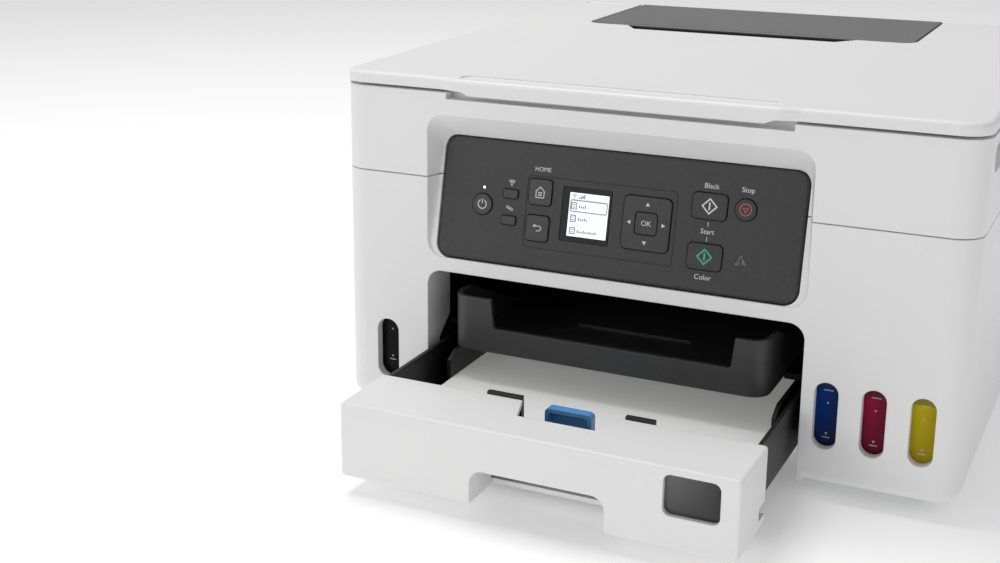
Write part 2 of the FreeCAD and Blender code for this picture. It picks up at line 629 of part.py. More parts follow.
def control_panel():
    """A dark shell with a rim, tilted back between the two housings."""
    body = panel_body("control_panel")
    half = "panel_width / 2"
    box(body, "add", (f"-{half}", half), ("0.8", "panel_length + 0.8"), ("-panel_rim", "0"), "z",
        "panel_round")
    round_edges(body, "panel_edge", at_height("0"))
    box(body, "cut", (f"2 - {half}", f"{half} - 2"), ("2.8", "panel_length - 1.2"),
        ("-panel_rim - 1", "-panel_skin"), "z", "panel_round - 2")
    for _, *hole in keys:
        key_hole(body, *hole, "-panel_skin - 1", "1")
    # thin raised frame round the keys in the middle, as a shallow groove
    box(body, "cut", ("-57.9", "40"), ("13.6", "59.2"), ("-0.35", "1"), "z", "3")
    box(body, "add", ("-57.2", "39.3"), ("14.3", "58.5"), ("-1", "-0.03"), "z", "2.4")
    for _, *hole in keys:
        key_hole(body, *hole, "-panel_skin - 1", "1")
    # display opening
    box(body, "cut", ("-34", "-1.6"), ("20.7", "54.6"), ("-1.3", "1"), "z", "1")
    box(body, "cut", ("-31", "-2.8"), ("22.4", "53"), ("-panel_skin - 1", "1"))
    disc(body, "cut", "z", ("-87.3", "47.9"), "1.25", ("-panel_skin - 1", "1"))
    shape(body, "cut", "z", [("77", "19.6"), ("85.6", "19.6"), ("81.3", "27.3")],
          ("-panel_skin - 1", "1"))


def panel_parts():
    control_panel()
    for entry in keys:
        body = key(*entry)
        if entry[0] == "navigation_pad":
            key_hole(body, *ok_key[1:], "-panel_skin - 3", "key_proud + 1")
    name, across, up, width, height, radius = ok_key
    ok = panel_body(name)
    box(ok, "add", (f"{across} - {width} / 2", f"{across} + {width} / 2"),
        (f"{up} - {height} / 2", f"{up} + {height} / 2"), ("-panel_skin - 1.8", "key_proud"), "z", radius)
    round_edges(ok, "key_edge", at_height("key_proud"))
    window = panel_body("display_window")
    box(window, "add", ("-33.6", "-2"), ("21.1", "54.2"), ("-1.3", "-0.1"), "z", "0.8")
    lamp = panel_body("alert_lamp")
    shape(lamp, "add", "z", [("77.3", "19.8"), ("85.3", "19.8"), ("81.3", "26.9")],
          ("-panel_rim + 2.6", "0.05"))
    board = panel_body("panel_board")
    box(board, "add", ("3 - panel_width / 2", "panel_width / 2 - 3"), ("4", "panel_length - 3"),
        ("-panel_rim + 1", "-panel_rim + 2.6"), "z", "panel_round - 3")
    # the power light is a small pipe moulded on the board's own lamp
    disc(board, "add", "z", ("-87.3", "47.9"), "1.2", ("-panel_rim + 2", "0.05"))


# ---------------------------------------------------------------- paper cassette

cassette_base = ("0", cassette_face, "0")


def cassette_front():
    """The white pull-out front: a hollow box, open at the back, with a grip notch and a window."""
    body = new_body("cassette_front", cassette_base)
    left, right = "feature_centre - cassette_width / 2", "feature_centre + cassette_width / 2"
    low, top, deep = "floor_gap", "cassette_top", "cassette_front_depth"
    box(body, "add", (left, right), ("0", deep), (low, top), "y", "2")
    round_edges(body, "1.5", lambda middle, ends: all(abs(point.y) < 0.01 for point in ends))
    box(body, "cut", (f"{left} + shell_wall", f"{right} - shell_wall"), ("shell_wall", f"{deep} + 1"),
        (f"{low} + shell_wall", f"{top} - shell_wall"))
    notch_left, notch_right = "notch_centre - notch_width / 2", "notch_centre + notch_width / 2"
    box(body, "add", (f"{notch_left} - 2.4", f"{notch_right} + 2.4"), ("1", "notch_depth"),
        (low, "notch_top + 2.4"), "y", "7")
    box(body, "cut", (notch_left, notch_right), ("-1", "notch_depth + 1"), (f"{low} - 9", "notch_top"),
        "y", "8")
    # middle notch in the top, over the paper lever
    shape(body, "cut", "z", [
        ("feature_centre - 19.4", "28"), ("feature_centre + 30.6", "28"),
        ("feature_centre + 37.6", f"{deep} + 1"), ("feature_centre - 26.4", f"{deep} + 1")],
          (f"{top} - shell_wall - 1", f"{top} + 1"))
    box(body, "cut", (f"{right} - 42.6", f"{right} - 10.6"), ("-1", "shell_wall + 1"), ("29.8", "53.8"), "y",
        "4.5")
    # latch slots in both ends
    box(body, "cut", (f"{left} - 1", f"{right} + 1"), (f"{deep} - 11.5", f"{deep} + 1"), ("17.5", "25.5"))


def cassette_tray():
    """The black tray behind the front, with humps that guide the top of the paper stack."""
    body = new_body("cassette_tray", cassette_base)
    left = "feature_centre - cassette_width / 2 + shell_wall"
    right = "feature_centre + cassette_width / 2 - shell_wall"
    low, end, wall = "cassette_low", "cassette_length", "tray_wall"
    box(body, "add", (f"{left} + fit_gap", f"{right} - fit_gap"), ("tray_start", end),
        (low, "cassette_top - 0.6"))
    box(body, "cut", (f"{left} + fit_gap + {wall}", f"{right} - fit_gap - {wall}"),
        (f"tray_start + {wall}", f"{end} - {wall}"), (f"{low} + {wall}", "cassette_top"))
    # lower walls where the tray slides into the white front
    box(body, "cut", (f"{left} - 1", f"{right} + 1"), ("tray_start - 1", "cassette_front_depth + 0.4"),
        ("cassette_top - shell_wall - 0.5", "cassette_top + 1"))
    # humps along the front edge
    for start, end_across in ((-49.4, -26.9), (38.1, 55.6)):
        shape(body, "add", "x", [
            ("cassette_front_depth + 0.4", f"{low} + 1"),
            ("cassette_front_depth + 0.4", "cassette_top + 1.6"),
            ("cassette_front_depth + 4", "cassette_top + 1.6"), ("cassette_front_depth + 5.4", f"{low} + 1")],
            (f"feature_centre + {start}", f"feature_centre + {end_across}"))


def cassette_parts():
    cassette_front()
    cassette_tray()
    window = new_body("cassette_window", cassette_base)
    right = "feature_centre + cassette_width / 2"
    box(window, "add", (f"{right} - 45.6", f"{right} - 7.6"), ("shell_wall", "shell_wall + 1.6"),
        ("26.4", "54.6"), "y", "1.5")
    paper = new_body("paper_stack", cassette_base)
    box(paper, "add", ("paper_centre - paper_width / 2", "paper_centre + paper_width / 2"),
        ("paper_front", "paper_front + paper_length"), ("paper_low", "paper_top"))
    half = "(paper_width / 2 + fit_gap)"
    spans = {"left_paper_guide": (f"paper_centre - {half} - guide_thick", f"paper_centre - {half}"),
             "right_paper_guide": (f"paper_centre + {half}", f"paper_centre + {half} + guide_thick")}
    for name, span in spans.items():
        guide = new_body(name, cassette_base)
        floor = "cassette_low + tray_wall + 0.3"
        shape(guide, "add", "x", [("110", floor), ("250", floor), ("250", "50"), ("240", "55"),
                                  ("120", "55"), ("110", "50")], span)
    lever = new_body("front_guide_lever", cassette_base)
    centre = "feature_centre"
    across = (f"{centre} - lever_width / 2", f"{centre} + lever_width / 2")
    box(lever, "add", across, ("lever_front", "lever_front + 6.5"),
        ("cassette_low + tray_wall + 0.3", "lever_top"), "y", "3")
    box(lever, "cut", (f"{across[0]} + 2.6", f"{across[1]} - 2.6"), ("lever_front - 1", "lever_front + 4.2"),
        ("36", "lever_top - 2.8"), "y", "1.6")
    box(lever, "add", (f"{centre} - 26", f"{centre} + 26"), ("lever_front + 2", "lever_front + 6.5"),
        ("cassette_low + tray_wall + 0.3", "35"), "y", "2")


def output_tray():
    """The dark tray that catches the prints, with two raised ears at its front."""
    body = new_body("output_tray")
    left, right = "feature_centre - output_width / 2", "feature_centre + output_width / 2"
    front, back, wall = "output_front", "output_back", "output_wall"
    box(body, "add", (left, right), (front, back), ("output_low", "output_top"), "z", "output_round")
    box(body, "cut", (f"{left} + {wall}", f"{right} - {wall}"), (f"{front} + {wall}", f"{back} + 30"),
        (f"output_low + {wall}", "output_top + 1"), "z", f"output_round - {wall}")
    shape(body, "cut", "y", [
        (f"{left} + 27.5", "output_top + 1"), (f"{left} + 29.5", "output_lip + 1.5"),
        (f"{left} + 31", "output_lip"), (f"{right} - 23", "output_lip"),
        (f"{right} - 21.5", "output_lip + 1.5"), (f"{right} - 19.5", "output_top + 1")],
        (f"{front} - 1", f"{front} + {wall} + 0.01"))
    shape(body, "cut", "x", [
        (f"{front} + 24", "output_top + 1"), (f"{front} + 24", "output_top"),
        (f"{front} + 92", "output_low + 6"), (f"{back} + 1", "output_low + 6"),
        (f"{back} + 1", "output_top + 1")], (f"{left} - 1", f"{right} + 1"))
    # shallow finger pocket in the floor
    shape(body, "cut", "z", [
        ("feature_centre - 49.4", f"{front} + 46"), ("feature_centre + 34.6", f"{front} + 46"),
        ("feature_centre + 40.6", f"{front} + 52"), ("feature_centre + 34.6", f"{front} + 70"),
        ("feature_centre - 43.4", f"{front} + 70")],
          ("output_low + 1.2", "output_low + 10"))


# ---------------------------------------------------------------- ink supply

def ink_tank(colour, centre, width, window_size):
    """One refillable tank with a window boss at the front and a filler neck on top."""
    tank = new_body(f"ink_tank_{colour}")
    boss_width, low, high = window_size
    box(tank, "add", (f"{centre} - {width} / 2", f"{centre} + {width} / 2"), ("tank_front", "tank_back"),
        ("tank_low", "tank_top"), "z", "3")
    box(tank, "add", (f"{centre} - {boss_width} / 2 + 0.15", f"{centre} + {boss_width} / 2 - 0.15"),
        ("window_set_back", "tank_front + 1"), (f"{low} + 0.15", f"{high} - 0.15"), "y",
        f"{boss_width} / 2 - 0.2")
    disc(tank, "add", "z", (centre, "neck_place"), "neck_radius", ("tank_top - 1", "tank_top + neck_height"))
    box(tank, "add", (f"{centre} - 3", f"{centre} + 3"),
        ("neck_place + cap_radius + 1", "neck_place + cap_radius + 6"),
        ("tank_top - 1", "tank_top + neck_height - 1.5"))
    cap = new_body(f"ink_cap_{colour}")
    low_cap = "tank_top + neck_height + 0.3"
    disc(cap, "add", "z", (centre, "neck_place"), "cap_radius", (low_cap, f"{low_cap} + cap_height"))
    box(cap, "add", (f"{centre} - 3", f"{centre} + 3"), ("neck_place", "neck_place + cap_radius + 5"),
        (low_cap, f"{low_cap} + 3"))
    box(cap, "add", (f"{centre} - 4", f"{centre} + 4"), ("neck_place - cap_radius - 4", "neck_place"),
        (low_cap, f"{low_cap} + 2.4"), "z", "3")


def ink_supply():
    for colour, centre in ink_places.items():
        ink_tank(colour, centre, "tank_width", ("window_width", "window_low", "window_high"))
    ink_tank("black", black_place, "black_tank_width",
             ("black_window_width", "black_window_low", "black_window_low + 41.2"))


# ---------------------------------------------------------------- paper drive

def gear(name, teeth, base, bore, half_turned):
    """A spur gear on the X axis: a disc with straight-sided teeth set round it."""
    body = new_body(name, base)
    pitch = f"{teeth} * tooth_module / 2"
    width = "gear_width"
    disc(body, "add", "x", ("0", "0"), f"{pitch} - 1.15 * tooth_module", ("0", width))
    root, tip = "0.95 * tooth_module", "0.38 * tooth_module"
    low, high = f"{pitch} - 1.4 * tooth_module", f"{pitch} + 0.85 * tooth_module"
    tooth = shape(body, "add", "x", [(low, f"-{root}"), (high, f"-{tip}"), (high, tip), (low, root)],
                  ("0", width))
    axis = [item for item in body.Origin.OriginFeatures if item.Role == "X_Axis"][0]
    ring = body.newObject("PartDesign::PolarPattern", name + "_teeth")
    ring.Originals = [tooth]
    ring.Axis = (axis, [""])
    ring.Angle = 360
    bind(ring, "Occurrences", teeth)
    body.Tip = ring
    if bore:
        disc(body, "cut", "x", ("0", "0"), bore, ("-1", f"{width} + 1"))
    if half_turned:
        body.Placement.Rotation = FreeCAD.Rotation(Vector(1, 0, 0), 9)
        bind(body, "Placement.Rotation.Angle", f"180 / {teeth}")
    return body


def turned(name, base, stations):
    """A shaft along X, turned from a list of places along it and radii."""
    body = new_body(name, base)
    sketch = new_sketch(body, "y", "0")
    first, last = stations[0][0], stations[-1][0]
    draw_outline(sketch, [(first, "0")] + stations + [(last, "0")])
    turn = body.newObject("PartDesign::Revolution", name + "_turn")
    turn.Profile = sketch
    turn.ReferenceAxis = (sketch, ["H_Axis"])
    turn.Angle = 360
    return body


def stepped(start, end, shaft, tyres, tyre_radius, tyre_width):
    """The outline of a shaft with wider tyres at the given places."""
    points = [(start, shaft)]
    for place in tyres:
        low, high = f"{place} - {tyre_width} / 2", f"{place} + {tyre_width} / 2"
        points += [(low, shaft), (low, tyre_radius), (high, tyre_radius), (high, shaft)]
    return points + [(end, shaft)]


def paper_drive():
    roller_base = ("0", f"{front_face} + roller_back", "roller_up")
    turned("feed_roller", roller_base,
           stepped(f"{collar_left} - 4", "gear_place + gear_width + 3", "shaft_radius",
                   ["-100", "-57", "-15", "28", "71"], "roller_radius", "24"))
    eject_base = ("0", f"{front_face} + eject_back", "eject_up")
    turned("eject_roller", eject_base,
           stepped(f"{collar_left} - 3", f"{collar_right} + 3", "2",
                   ["-95", "-55", "-15", "25", "65"], "eject_radius", "10"))
    gear("feed_gear", "gear_teeth", ("gear_place", f"{front_face} + roller_back", "roller_up"),
         "shaft_radius + 0.05", False)
    reach = "(gear_teeth + pinion_teeth) * tooth_module / 2 + mesh_gap"
    pinion_back = f"roller_back + {reach}"
    pinion = gear("motor_pinion", "pinion_teeth",
                  ("gear_place", f"{front_face} + {pinion_back}", "roller_up"),
         None, True)
    disc(pinion, "add", "x", ("0", "0"), "1.5", ("-1", "gear_width + 6"))
    can = cylinder("can", "15", "32", ("gear_place + gear_width + 9", pinion_back, "roller_up"), along_x)
    plate = block("plate", ("gear_place + gear_width + 7.5", "gear_place + gear_width + 9"),
                  (f"{pinion_back} - 18", f"{pinion_back} + 18"),
                  ("floor_gap + wall + base_thick", "roller_up + 18"))
    joined("feed_motor", [can, plate])
    platen = new_body("platen")
    box(platen, "add", (f"{opening_left} - 0.2", f"{opening_right} + 0.2"), ("166", "240"),
        ("opening_top - 9.1", "opening_top - 5.1"))
    for index in range(10):
        start = f"{opening_left} + {14 + index * 23.5}"
        box(platen, "add", (start, f"{start} + 3"), ("172", "236"),
            ("opening_top - 6.1", "opening_top - 0.7"))


# ---------------------------------------------------------------- print carriage

def print_carriage():
    rail = new_body("carriage_rail")
    low = "opening_top - 0.6"
    back = "rail_front + rail_thick"
    shape(rail, "add", "x", [
        ("rail_front", low), ("rail_front", "rail_top"), (back, "rail_top"), (back, "rail_top - 2"),
        ("rail_front + 2", "rail_top - 2"), ("rail_front + 2", f"{low} + 2"), (back, f"{low} + 2"),
        (back, low)], ("-rail_length / 2", "rail_length / 2"))
    carriage = new_body("print_carriage")
    left, right = "carriage_home - carriage_width / 2", "carriage_home + carriage_width / 2"
    front = f"{back} + 2.6"
    box(carriage, "add", (left, right), (front, f"{front} + carriage_depth"),
        ("carriage_low", "carriage_top"), "z", "4")
    box(carriage, "cut", (f"{left} + 4", f"{right} - 4"), (f"{front} + 6", f"{front} + carriage_depth - 4"),
        ("carriage_top - 14", "carriage_top + 1"), "z", "2")
    box(carriage, "add", (f"{left} + 12", f"{right} - 12"), (f"{front} + 16", f"{front} + 48"),
        ("carriage_low - 3", "carriage_low + 1"), "z", "2")
    box(carriage, "add", (f"{left} + 20", f"{right} - 20"), ("rail_front + 0.6", f"{front} + 8"),
        ("rail_top + 0.5", "rail_top + 3"))
    box(carriage, "add", (f"{left} + 20", f"{right} - 20"), (f"{front} + 3", f"{front} + 8"),
        ("carriage_top - 2", "rail_top + 2"))
    belt = new_body("drive_belt")
    box(belt, "add", ("-rail_length / 2 + 6", "rail_length / 2 - 6"), (f"{back} + 0.6", f"{back} + 1.8"),
        ("rail_top - 22", "rail_top - 16"))


# ---------------------------------------------------------------- electrics and rear parts

def rear_parts():
    supply = new_body("power_supply")
    box(supply, "add", (f"16 - {side}", f"56 - {side}"), ("165", f"{housing_back} - wall"),
        ("floor_gap + wall + base_thick", "62"), "z", "2")
    inlet = new_body("power_inlet")
    box(inlet, "add", (f"13.9 - {side}", f"41.1 - {side}"),
        (f"{housing_back} - wall", f"{housing_back} - 0.6"),
        ("28.4", "49.6"), "y", "2.6")
    box(inlet, "cut", (f"18.5 - {side}", f"36.5 - {side}"),
        (f"{housing_back} - wall + 0.8", f"{housing_back} + 1"), ("34", "44"),
        "y", "4.9")
    board = new_body("main_board")
    box(board, "add", (f"{side} - 73.5", f"{side} - 16"), (f"{housing_back} - 106", f"{housing_back} - wall"),
        ("opening_top - 2.1", "opening_top - 0.5"))
    for x0, y0, wide, deep, tall in ((69.5, 98, 22, 22, 3), (39.5, 88, 14, 10, 2), (65.5, 58, 30, 12, 9),
                                     (49.5, 22, 22, 18.4, 9)):
        box(board, "add", (f"{side} - {x0}", f"{side} - {x0 - wide}"),
            (f"{housing_back} - {y0}", f"{housing_back} - {y0 - deep}"),
            ("opening_top - 1.1", f"opening_top - 1.1 + {tall}"))
    maintenance = new_body("maintenance_cartridge")
    box(maintenance, "add", ("feature_centre - 95.4", "feature_centre + 74.6"),
        ("frame_back - 86", "frame_back - 1"),
        ("62", "98"), "z", "4")
    cover = new_body("rear_access_cover")
    box(cover, "add", ("feature_centre - 105.4", "feature_centre + 104.6"), (housing_back, "body_depth"),
        ("66", "split_height - 5.1"), "y", "8")
    round_edges(cover, "5", lambda middle, ends: all(
        abs(point.y - number("body_depth")) < 0.01 for point in ends))
    box(cover, "cut", ("feature_centre - 95.4", "feature_centre + 94.6"),
        (f"{housing_back} - 1", "body_depth - 3"),
        ("76", "split_height - 15.1"), "y", "4")
    for index in range(12):
        start = f"feature_centre + {index * 15 - 85.4}"
        box(cover, "cut", (start, f"{start} + 6"), ("body_depth - 1.2", "body_depth + 1"),
            ("80", "split_height - 19.1"))
    screws = []
    for index, (across, up) in enumerate((
            (f"59.5 - {side}", "100"), (f"{side} - 87.5", "60"), (f"59.5 - {side}", "20"),
            (f"{side} - 19.5", "20"))):
        screws.append(cylinder(f"screw_{index}", "3.2", "1.6", (across, housing_back, up), along_y))
    joined("housing_screws", screws)


def rear_tray():
    """The upright feed slot at the back, and the dark cover that folds off it."""
    chute = new_body("rear_tray_chute")
    left, right = f"{module_left} + 1", f"{module_right} - 1"
    front, back = "module_front - finger_gap", housing_back
    box(chute, "add", (left, right), (front, back), ("split_height + 0.9", "unit_top - 1.2"))
    disc(chute, "cut", "x", ("unit_axis_back", "unit_axis_up"), "unit_pin_radius + 0.02",
         (f"{left} - 1", f"{right} + 1"))
    shape(chute, "cut", "x", [(f"{back} - 98", "unit_top + 1"), (f"{back} - 6", "unit_top + 1"),
                              (f"{back} - 34", "split_height"), (f"{back} - 48", "split_height")],
          (f"{left} + 12", f"{right} - 12"))
    cover = new_body("rear_tray_cover")
    box(cover, "add", (module_left, module_right), ("module_front", "body_depth - 6"),
        (f"{lid_low} - 0.4", "body_height"),
        "z", "cover_round - module_gap")
    box(cover, "add", (module_left, module_right), ("body_depth - 25", "body_depth - 6"),
        (f"{lid_low} - 0.4", "body_height"))
    round_edges(cover, "1.2", at_height("body_height"))
    box(cover, "cut", (f"{module_left} + 26", f"{module_right} - 52"),
        ("module_front + 5", "module_front + 6.4"),
        ("body_height - 0.5", "body_height + 1"))
    box(cover, "cut", (f"{module_left} + 4", f"{module_right} - 4"), ("module_front + 4", "body_depth - 24"),
        (f"{lid_low} - 1", "body_height - 2.6"))


# ---------------------------------------------------------------- build, test and write

def build():
    lower_housing()
    upper_housing()
    scanner_lid()
    lid_hinges()
    unit_hinge_pins()
    scanner_parts()
    base_parts()
    inner_frame()
    panel_parts()
    cassette_parts()
    output_tray()
    ink_supply()
    paper_drive()
    print_carriage()
    rear_parts()
    rear_tray()
    doc.recompute()


def test():
    """Stop when anything in the document failed, or a sub-part has no sound shape."""
    for item in doc.Objects:
        if "Invalid" in item.State or "Error" in item.State:
            raise RuntimeError(f"{item.Label} failed: {item.State}")
    for node in nodes:
        if node.Shape.isNull() or not node.Shape.isValid():
            raise RuntimeError(f"{node.Label} has no valid shape")


build()
test()
os.makedirs("parts", exist_ok=True)
for node in nodes:
    node.Shape.exportStep(f"parts/{node.Label}.step")
print(len(nodes), "sub-parts written")
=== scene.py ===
import math

import bmesh
import bpy
from mathutils import Matrix, Vector


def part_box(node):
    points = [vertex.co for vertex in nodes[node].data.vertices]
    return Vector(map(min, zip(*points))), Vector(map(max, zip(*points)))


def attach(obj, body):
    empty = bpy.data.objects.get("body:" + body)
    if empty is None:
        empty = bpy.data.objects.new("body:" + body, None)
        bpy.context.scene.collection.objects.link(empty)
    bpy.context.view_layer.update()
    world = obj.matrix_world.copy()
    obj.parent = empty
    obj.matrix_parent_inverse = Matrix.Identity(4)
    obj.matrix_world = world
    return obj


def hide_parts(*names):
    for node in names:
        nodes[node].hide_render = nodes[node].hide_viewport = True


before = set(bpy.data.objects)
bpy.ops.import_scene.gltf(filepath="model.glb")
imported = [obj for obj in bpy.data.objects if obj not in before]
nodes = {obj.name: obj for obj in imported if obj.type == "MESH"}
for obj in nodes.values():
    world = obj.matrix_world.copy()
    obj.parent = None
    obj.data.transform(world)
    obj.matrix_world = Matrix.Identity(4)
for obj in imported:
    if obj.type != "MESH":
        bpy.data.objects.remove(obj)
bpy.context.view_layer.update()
mm = 0.001
print("frame loaded")


# materials
def newMaterial(name):
    material = bpy.data.materials.new(name)
    material.use_nodes = True
    tree = material.node_tree
    return material, tree, tree.nodes["Principled BSDF"]


def addNode(tree, kind, **values):
    node = tree.nodes.new("ShaderNode" + kind)
    for key, value in values.items():
        if key in node.inputs:
            node.inputs[key].default_value = value
        else:
            setattr(node, key, value)
    return node


def wire(tree, source, target, inputName):
    tree.links.new(source, target.inputs[inputName])


def objectPlace(tree, stretch=None, turn=(0, 0, 0)):
    place = addNode(tree, "TexCoord").outputs["Object"]
    if stretch is None:
        return place
    mapping = addNode(tree, "Mapping", Scale=stretch, Rotation=turn)
    wire(tree, place, mapping, "Vector")
    return mapping.outputs["Vector"]


def noise(tree, place, scale, detail=3, rough=0.5):
    node = addNode(tree, "TexNoise", Scale=scale, Detail=detail, Roughness=rough)
    wire(tree, place, node, "Vector")
    return node.outputs["Fac"]


def ranged(tree, value, fromLow, fromHigh, toLow, toHigh):
    node = addNode(tree, "MapRange")
    for key, number in (("From Min", fromLow), ("From Max", fromHigh),
                        ("To Min", toLow), ("To Max", toHigh)):
        node.inputs[key].default_value = number
    wire(tree, value, node, "Value")
    return node.outputs["Result"]


def mixed(tree, factor, first, second, blendType="MIX"):
    node = tree.nodes.new("ShaderNodeMix")
    node.data_type = "RGBA"
    node.blend_type = blendType
    for slot, value in ((0, factor), (6, first), (7, second)):
        if isinstance(value, bpy.types.NodeSocket):
            tree.links.new(value, node.inputs[slot])
        else:
            node.inputs[slot].default_value = value
    return node.outputs[2]


def grey(level, alpha=1.0):
    return (level, level, level, alpha)


def bumped(tree, shader, height, strength, distance, under=None):
    bump = addNode(tree, "Bump", Strength=strength, Distance=distance)
    wire(tree, height, bump, "Height")
    if under is not None:
        wire(tree, under, bump, "Normal")
    wire(tree, bump.outputs["Normal"], shader, "Normal")


def edgeMask(tree, radius, strength):
    # where the rounded normal leaves the true one, the surface turns a corner; this mask marks
    # where a painted highlight goes along the edges
    bevel = addNode(tree, "Bevel", samples=4, Radius=radius)
    geometry = addNode(tree, "NewGeometry")
    product = addNode(tree, "VectorMath", operation="DOT_PRODUCT")
    tree.links.new(bevel.outputs["Normal"], product.inputs[0])
    tree.links.new(geometry.outputs["Normal"], product.inputs[1])
    highlighted = ranged(tree, product.outputs["Value"], 0.9995, 0.93, 0, strength)
    return bevel.outputs["Normal"], highlighted


# only the top skin of the rear cover keeps its colour; the rim and underside are painted
# near-black, painted shade for the shadowed front face under the cover's edge
paintedRimShade = {"depth": 0.0002, "colour": grey(0.006)}


def mouldedPlastic(name, look):
    material, tree, shader = newMaterial(name)
    place = objectPlace(tree)
    drift = noise(tree, place, look["driftScale"], 4)
    grain = noise(tree, place, look["grainScale"], 5, 0.65)
    speck = noise(tree, place, look["grainScale"] * 0.31, 3)
    drifting = ranged(tree, drift, 0.3, 0.7, 0, 1)
    specked = ranged(tree, speck, 0.35, 0.75, 0, look["speck"])
    base = mixed(tree, drifting, look["colour"], look["driftColour"])
    base = mixed(tree, specked, base, look["speckColour"])
    rounded, edge = edgeMask(tree, look["edgeRadius"], look["edgeWear"])
    # painted highlight: edges and corners are mixed towards a lighter colour
    base = mixed(tree, edge, base, look["edgeHighlightColour"])
    # painted shade: below the top skin the cover is mixed to near-black
    if look.get("darkBelow"):
        heights = addNode(tree, "SeparateXYZ")
        wire(tree, place, heights, "Vector")
        under = ranged(tree, heights.outputs["Z"], look["darkBelow"] - paintedRimShade["depth"],
                       look["darkBelow"], 1, 0)
        base = mixed(tree, under, base, paintedRimShade["colour"])
    wire(tree, base, shader, "Base Color")
    wire(tree, ranged(tree, grain, 0.3, 0.7, *look["rough"]), shader, "Roughness")
    bumped(tree, shader, grain, look["bump"], look["bumpDepth"], rounded)
    shader.inputs["IOR"].default_value = 1.48
    shader.inputs["Specular IOR Level"].default_value = look.get("specular", 0.5)
    shader.inputs["Coat Weight"].default_value = look.get("coat", 0)
    shader.inputs["Coat Roughness"].default_value = 0.08
    return material


def plasticLook(colour, driftColour, edgeHighlightColour, rough, **changes):
    look = {"colour": colour, "driftColour": driftColour, "edgeHighlightColour": edgeHighlightColour,
            "rough": rough, "speckColour": edgeHighlightColour, "speck": 0.12, "driftScale": 9,
            "grainScale": 1400,
            "bump": 0.22, "bumpDepth": 0.00012, "edgeRadius": 0.0007, "edgeWear": 0.5}
    look.update(changes)
    return look


plasticLooks = {
    "whiteShell": plasticLook((0.83, 0.83, 0.825, 1), (0.81, 0.812, 0.812, 1),
                              (0.90, 0.90, 0.895, 1), (0.34, 0.50), edgeWear=0.6,
                              edgeRadius=0.0009),
    "panelGrey": plasticLook(grey(0.034), grey(0.030), grey(0.085), (0.44, 0.58), bump=0.3,
                             driftScale=5),
    "coverGrey": plasticLook(grey(0.135), grey(0.122), grey(0.24), (0.36, 0.48), bump=0.3,
                             darkBelow=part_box("rear_tray_cover")[1].z - paintedRimShade["depth"]),
    "trayBlack": plasticLook(grey(0.038), grey(0.033), grey(0.09), (0.36, 0.5), bump=0.35),
    "cassetteBlack": plasticLook(grey(0.011), grey(0.009), grey(0.035), (0.4, 0.55), bump=0.35),
    "frameBlack": plasticLook(grey(0.007), grey(0.005), grey(0.02), (0.5, 0.7), bump=0.35,
                              specular=0.25),
    "keyDark": plasticLook(grey(0.017), grey(0.014), grey(0.075), (0.3, 0.42), bump=0.12,
                           edgeRadius=0.0004),
    "leverBlue": plasticLook((0.13, 0.37, 0.76, 1), (0.115, 0.34, 0.70, 1), (0.24, 0.50, 0.86, 1),
                             (0.28, 0.4), bump=0.15),
    "gearNylon": plasticLook((0.72, 0.71, 0.66, 1), (0.68, 0.66, 0.6, 1), (0.8, 0.8, 0.76, 1),
                             (0.3, 0.45), bump=0.1),
}
materials = {name: mouldedPlastic(name, look) for name, look in plasticLooks.items()}


def brushedSteel(name, look):
    material, tree, shader = newMaterial(name)
    lines = noise(tree, objectPlace(tree, look["stretch"]), 60, 4, 0.7)
    patches = noise(tree, objectPlace(tree), 35, 3)
    base = mixed(tree, ranged(tree, lines, 0.3, 0.7, 0, 1), look["colour"], look["lineColour"])
    base = mixed(tree, ranged(tree, patches, 0.45, 0.8, 0, 0.35), base, look["patchColour"])
    wire(tree, base, shader, "Base Color")
    wire(tree, ranged(tree, lines, 0.3, 0.7, 0.22, 0.42), shader, "Roughness")
    bumped(tree, shader, lines, 0.15, 0.0001)
    shader.inputs["Metallic"].default_value = 1
    shader.inputs["Anisotropic"].default_value = 0.4
    return material


def rubberLike(name, look):
    material, tree, shader = newMaterial(name)
    place = objectPlace(tree)
    cells = addNode(tree, "TexVoronoi", Scale=look["cellScale"])
    wire(tree, place, cells, "Vector")
    dust = noise(tree, place, 80, 5)
    dusty = ranged(tree, dust, 0.4, 0.75, 0, look["dust"])
    base = mixed(tree, dusty, look["colour"], look["dustColour"])
    wire(tree, base, shader, "Base Color")
    wire(tree, ranged(tree, dust, 0.3, 0.7, *look["rough"]), shader, "Roughness")
    bumped(tree, shader, cells.outputs["Distance"], look["bump"], 0.0003)
    return material


def paperLike(name, look):
    material, tree, shader = newMaterial(name)
    fibre = noise(tree, objectPlace(tree), 700, 6, 0.7)
    leaves = noise(tree, objectPlace(tree, (3, 3, 3200)), 1, 2)
    base = mixed(tree, ranged(tree, fibre, 0.3, 0.7, 0, 1), look["colour"], look["fibreColour"])
    # painted shade: thin darker bands between the leaves of the stack
    base = mixed(tree, ranged(tree, leaves, 0.5, 0.7, 0, 0.22), base, look["gapShadeColour"])
    wire(tree, base, shader, "Base Color")
    wire(tree, ranged(tree, fibre, 0.3, 0.7, 0.82, 0.95), shader, "Roughness")
    # painted light: a faint glow stands in for light reaching the paper inside the printer
    shader.inputs["Emission Color"].default_value = look["glowColour"]
    shader.inputs["Emission Strength"].default_value = look["glow"]
    bumped(tree, shader, fibre, 0.25, 0.00008)
    return material


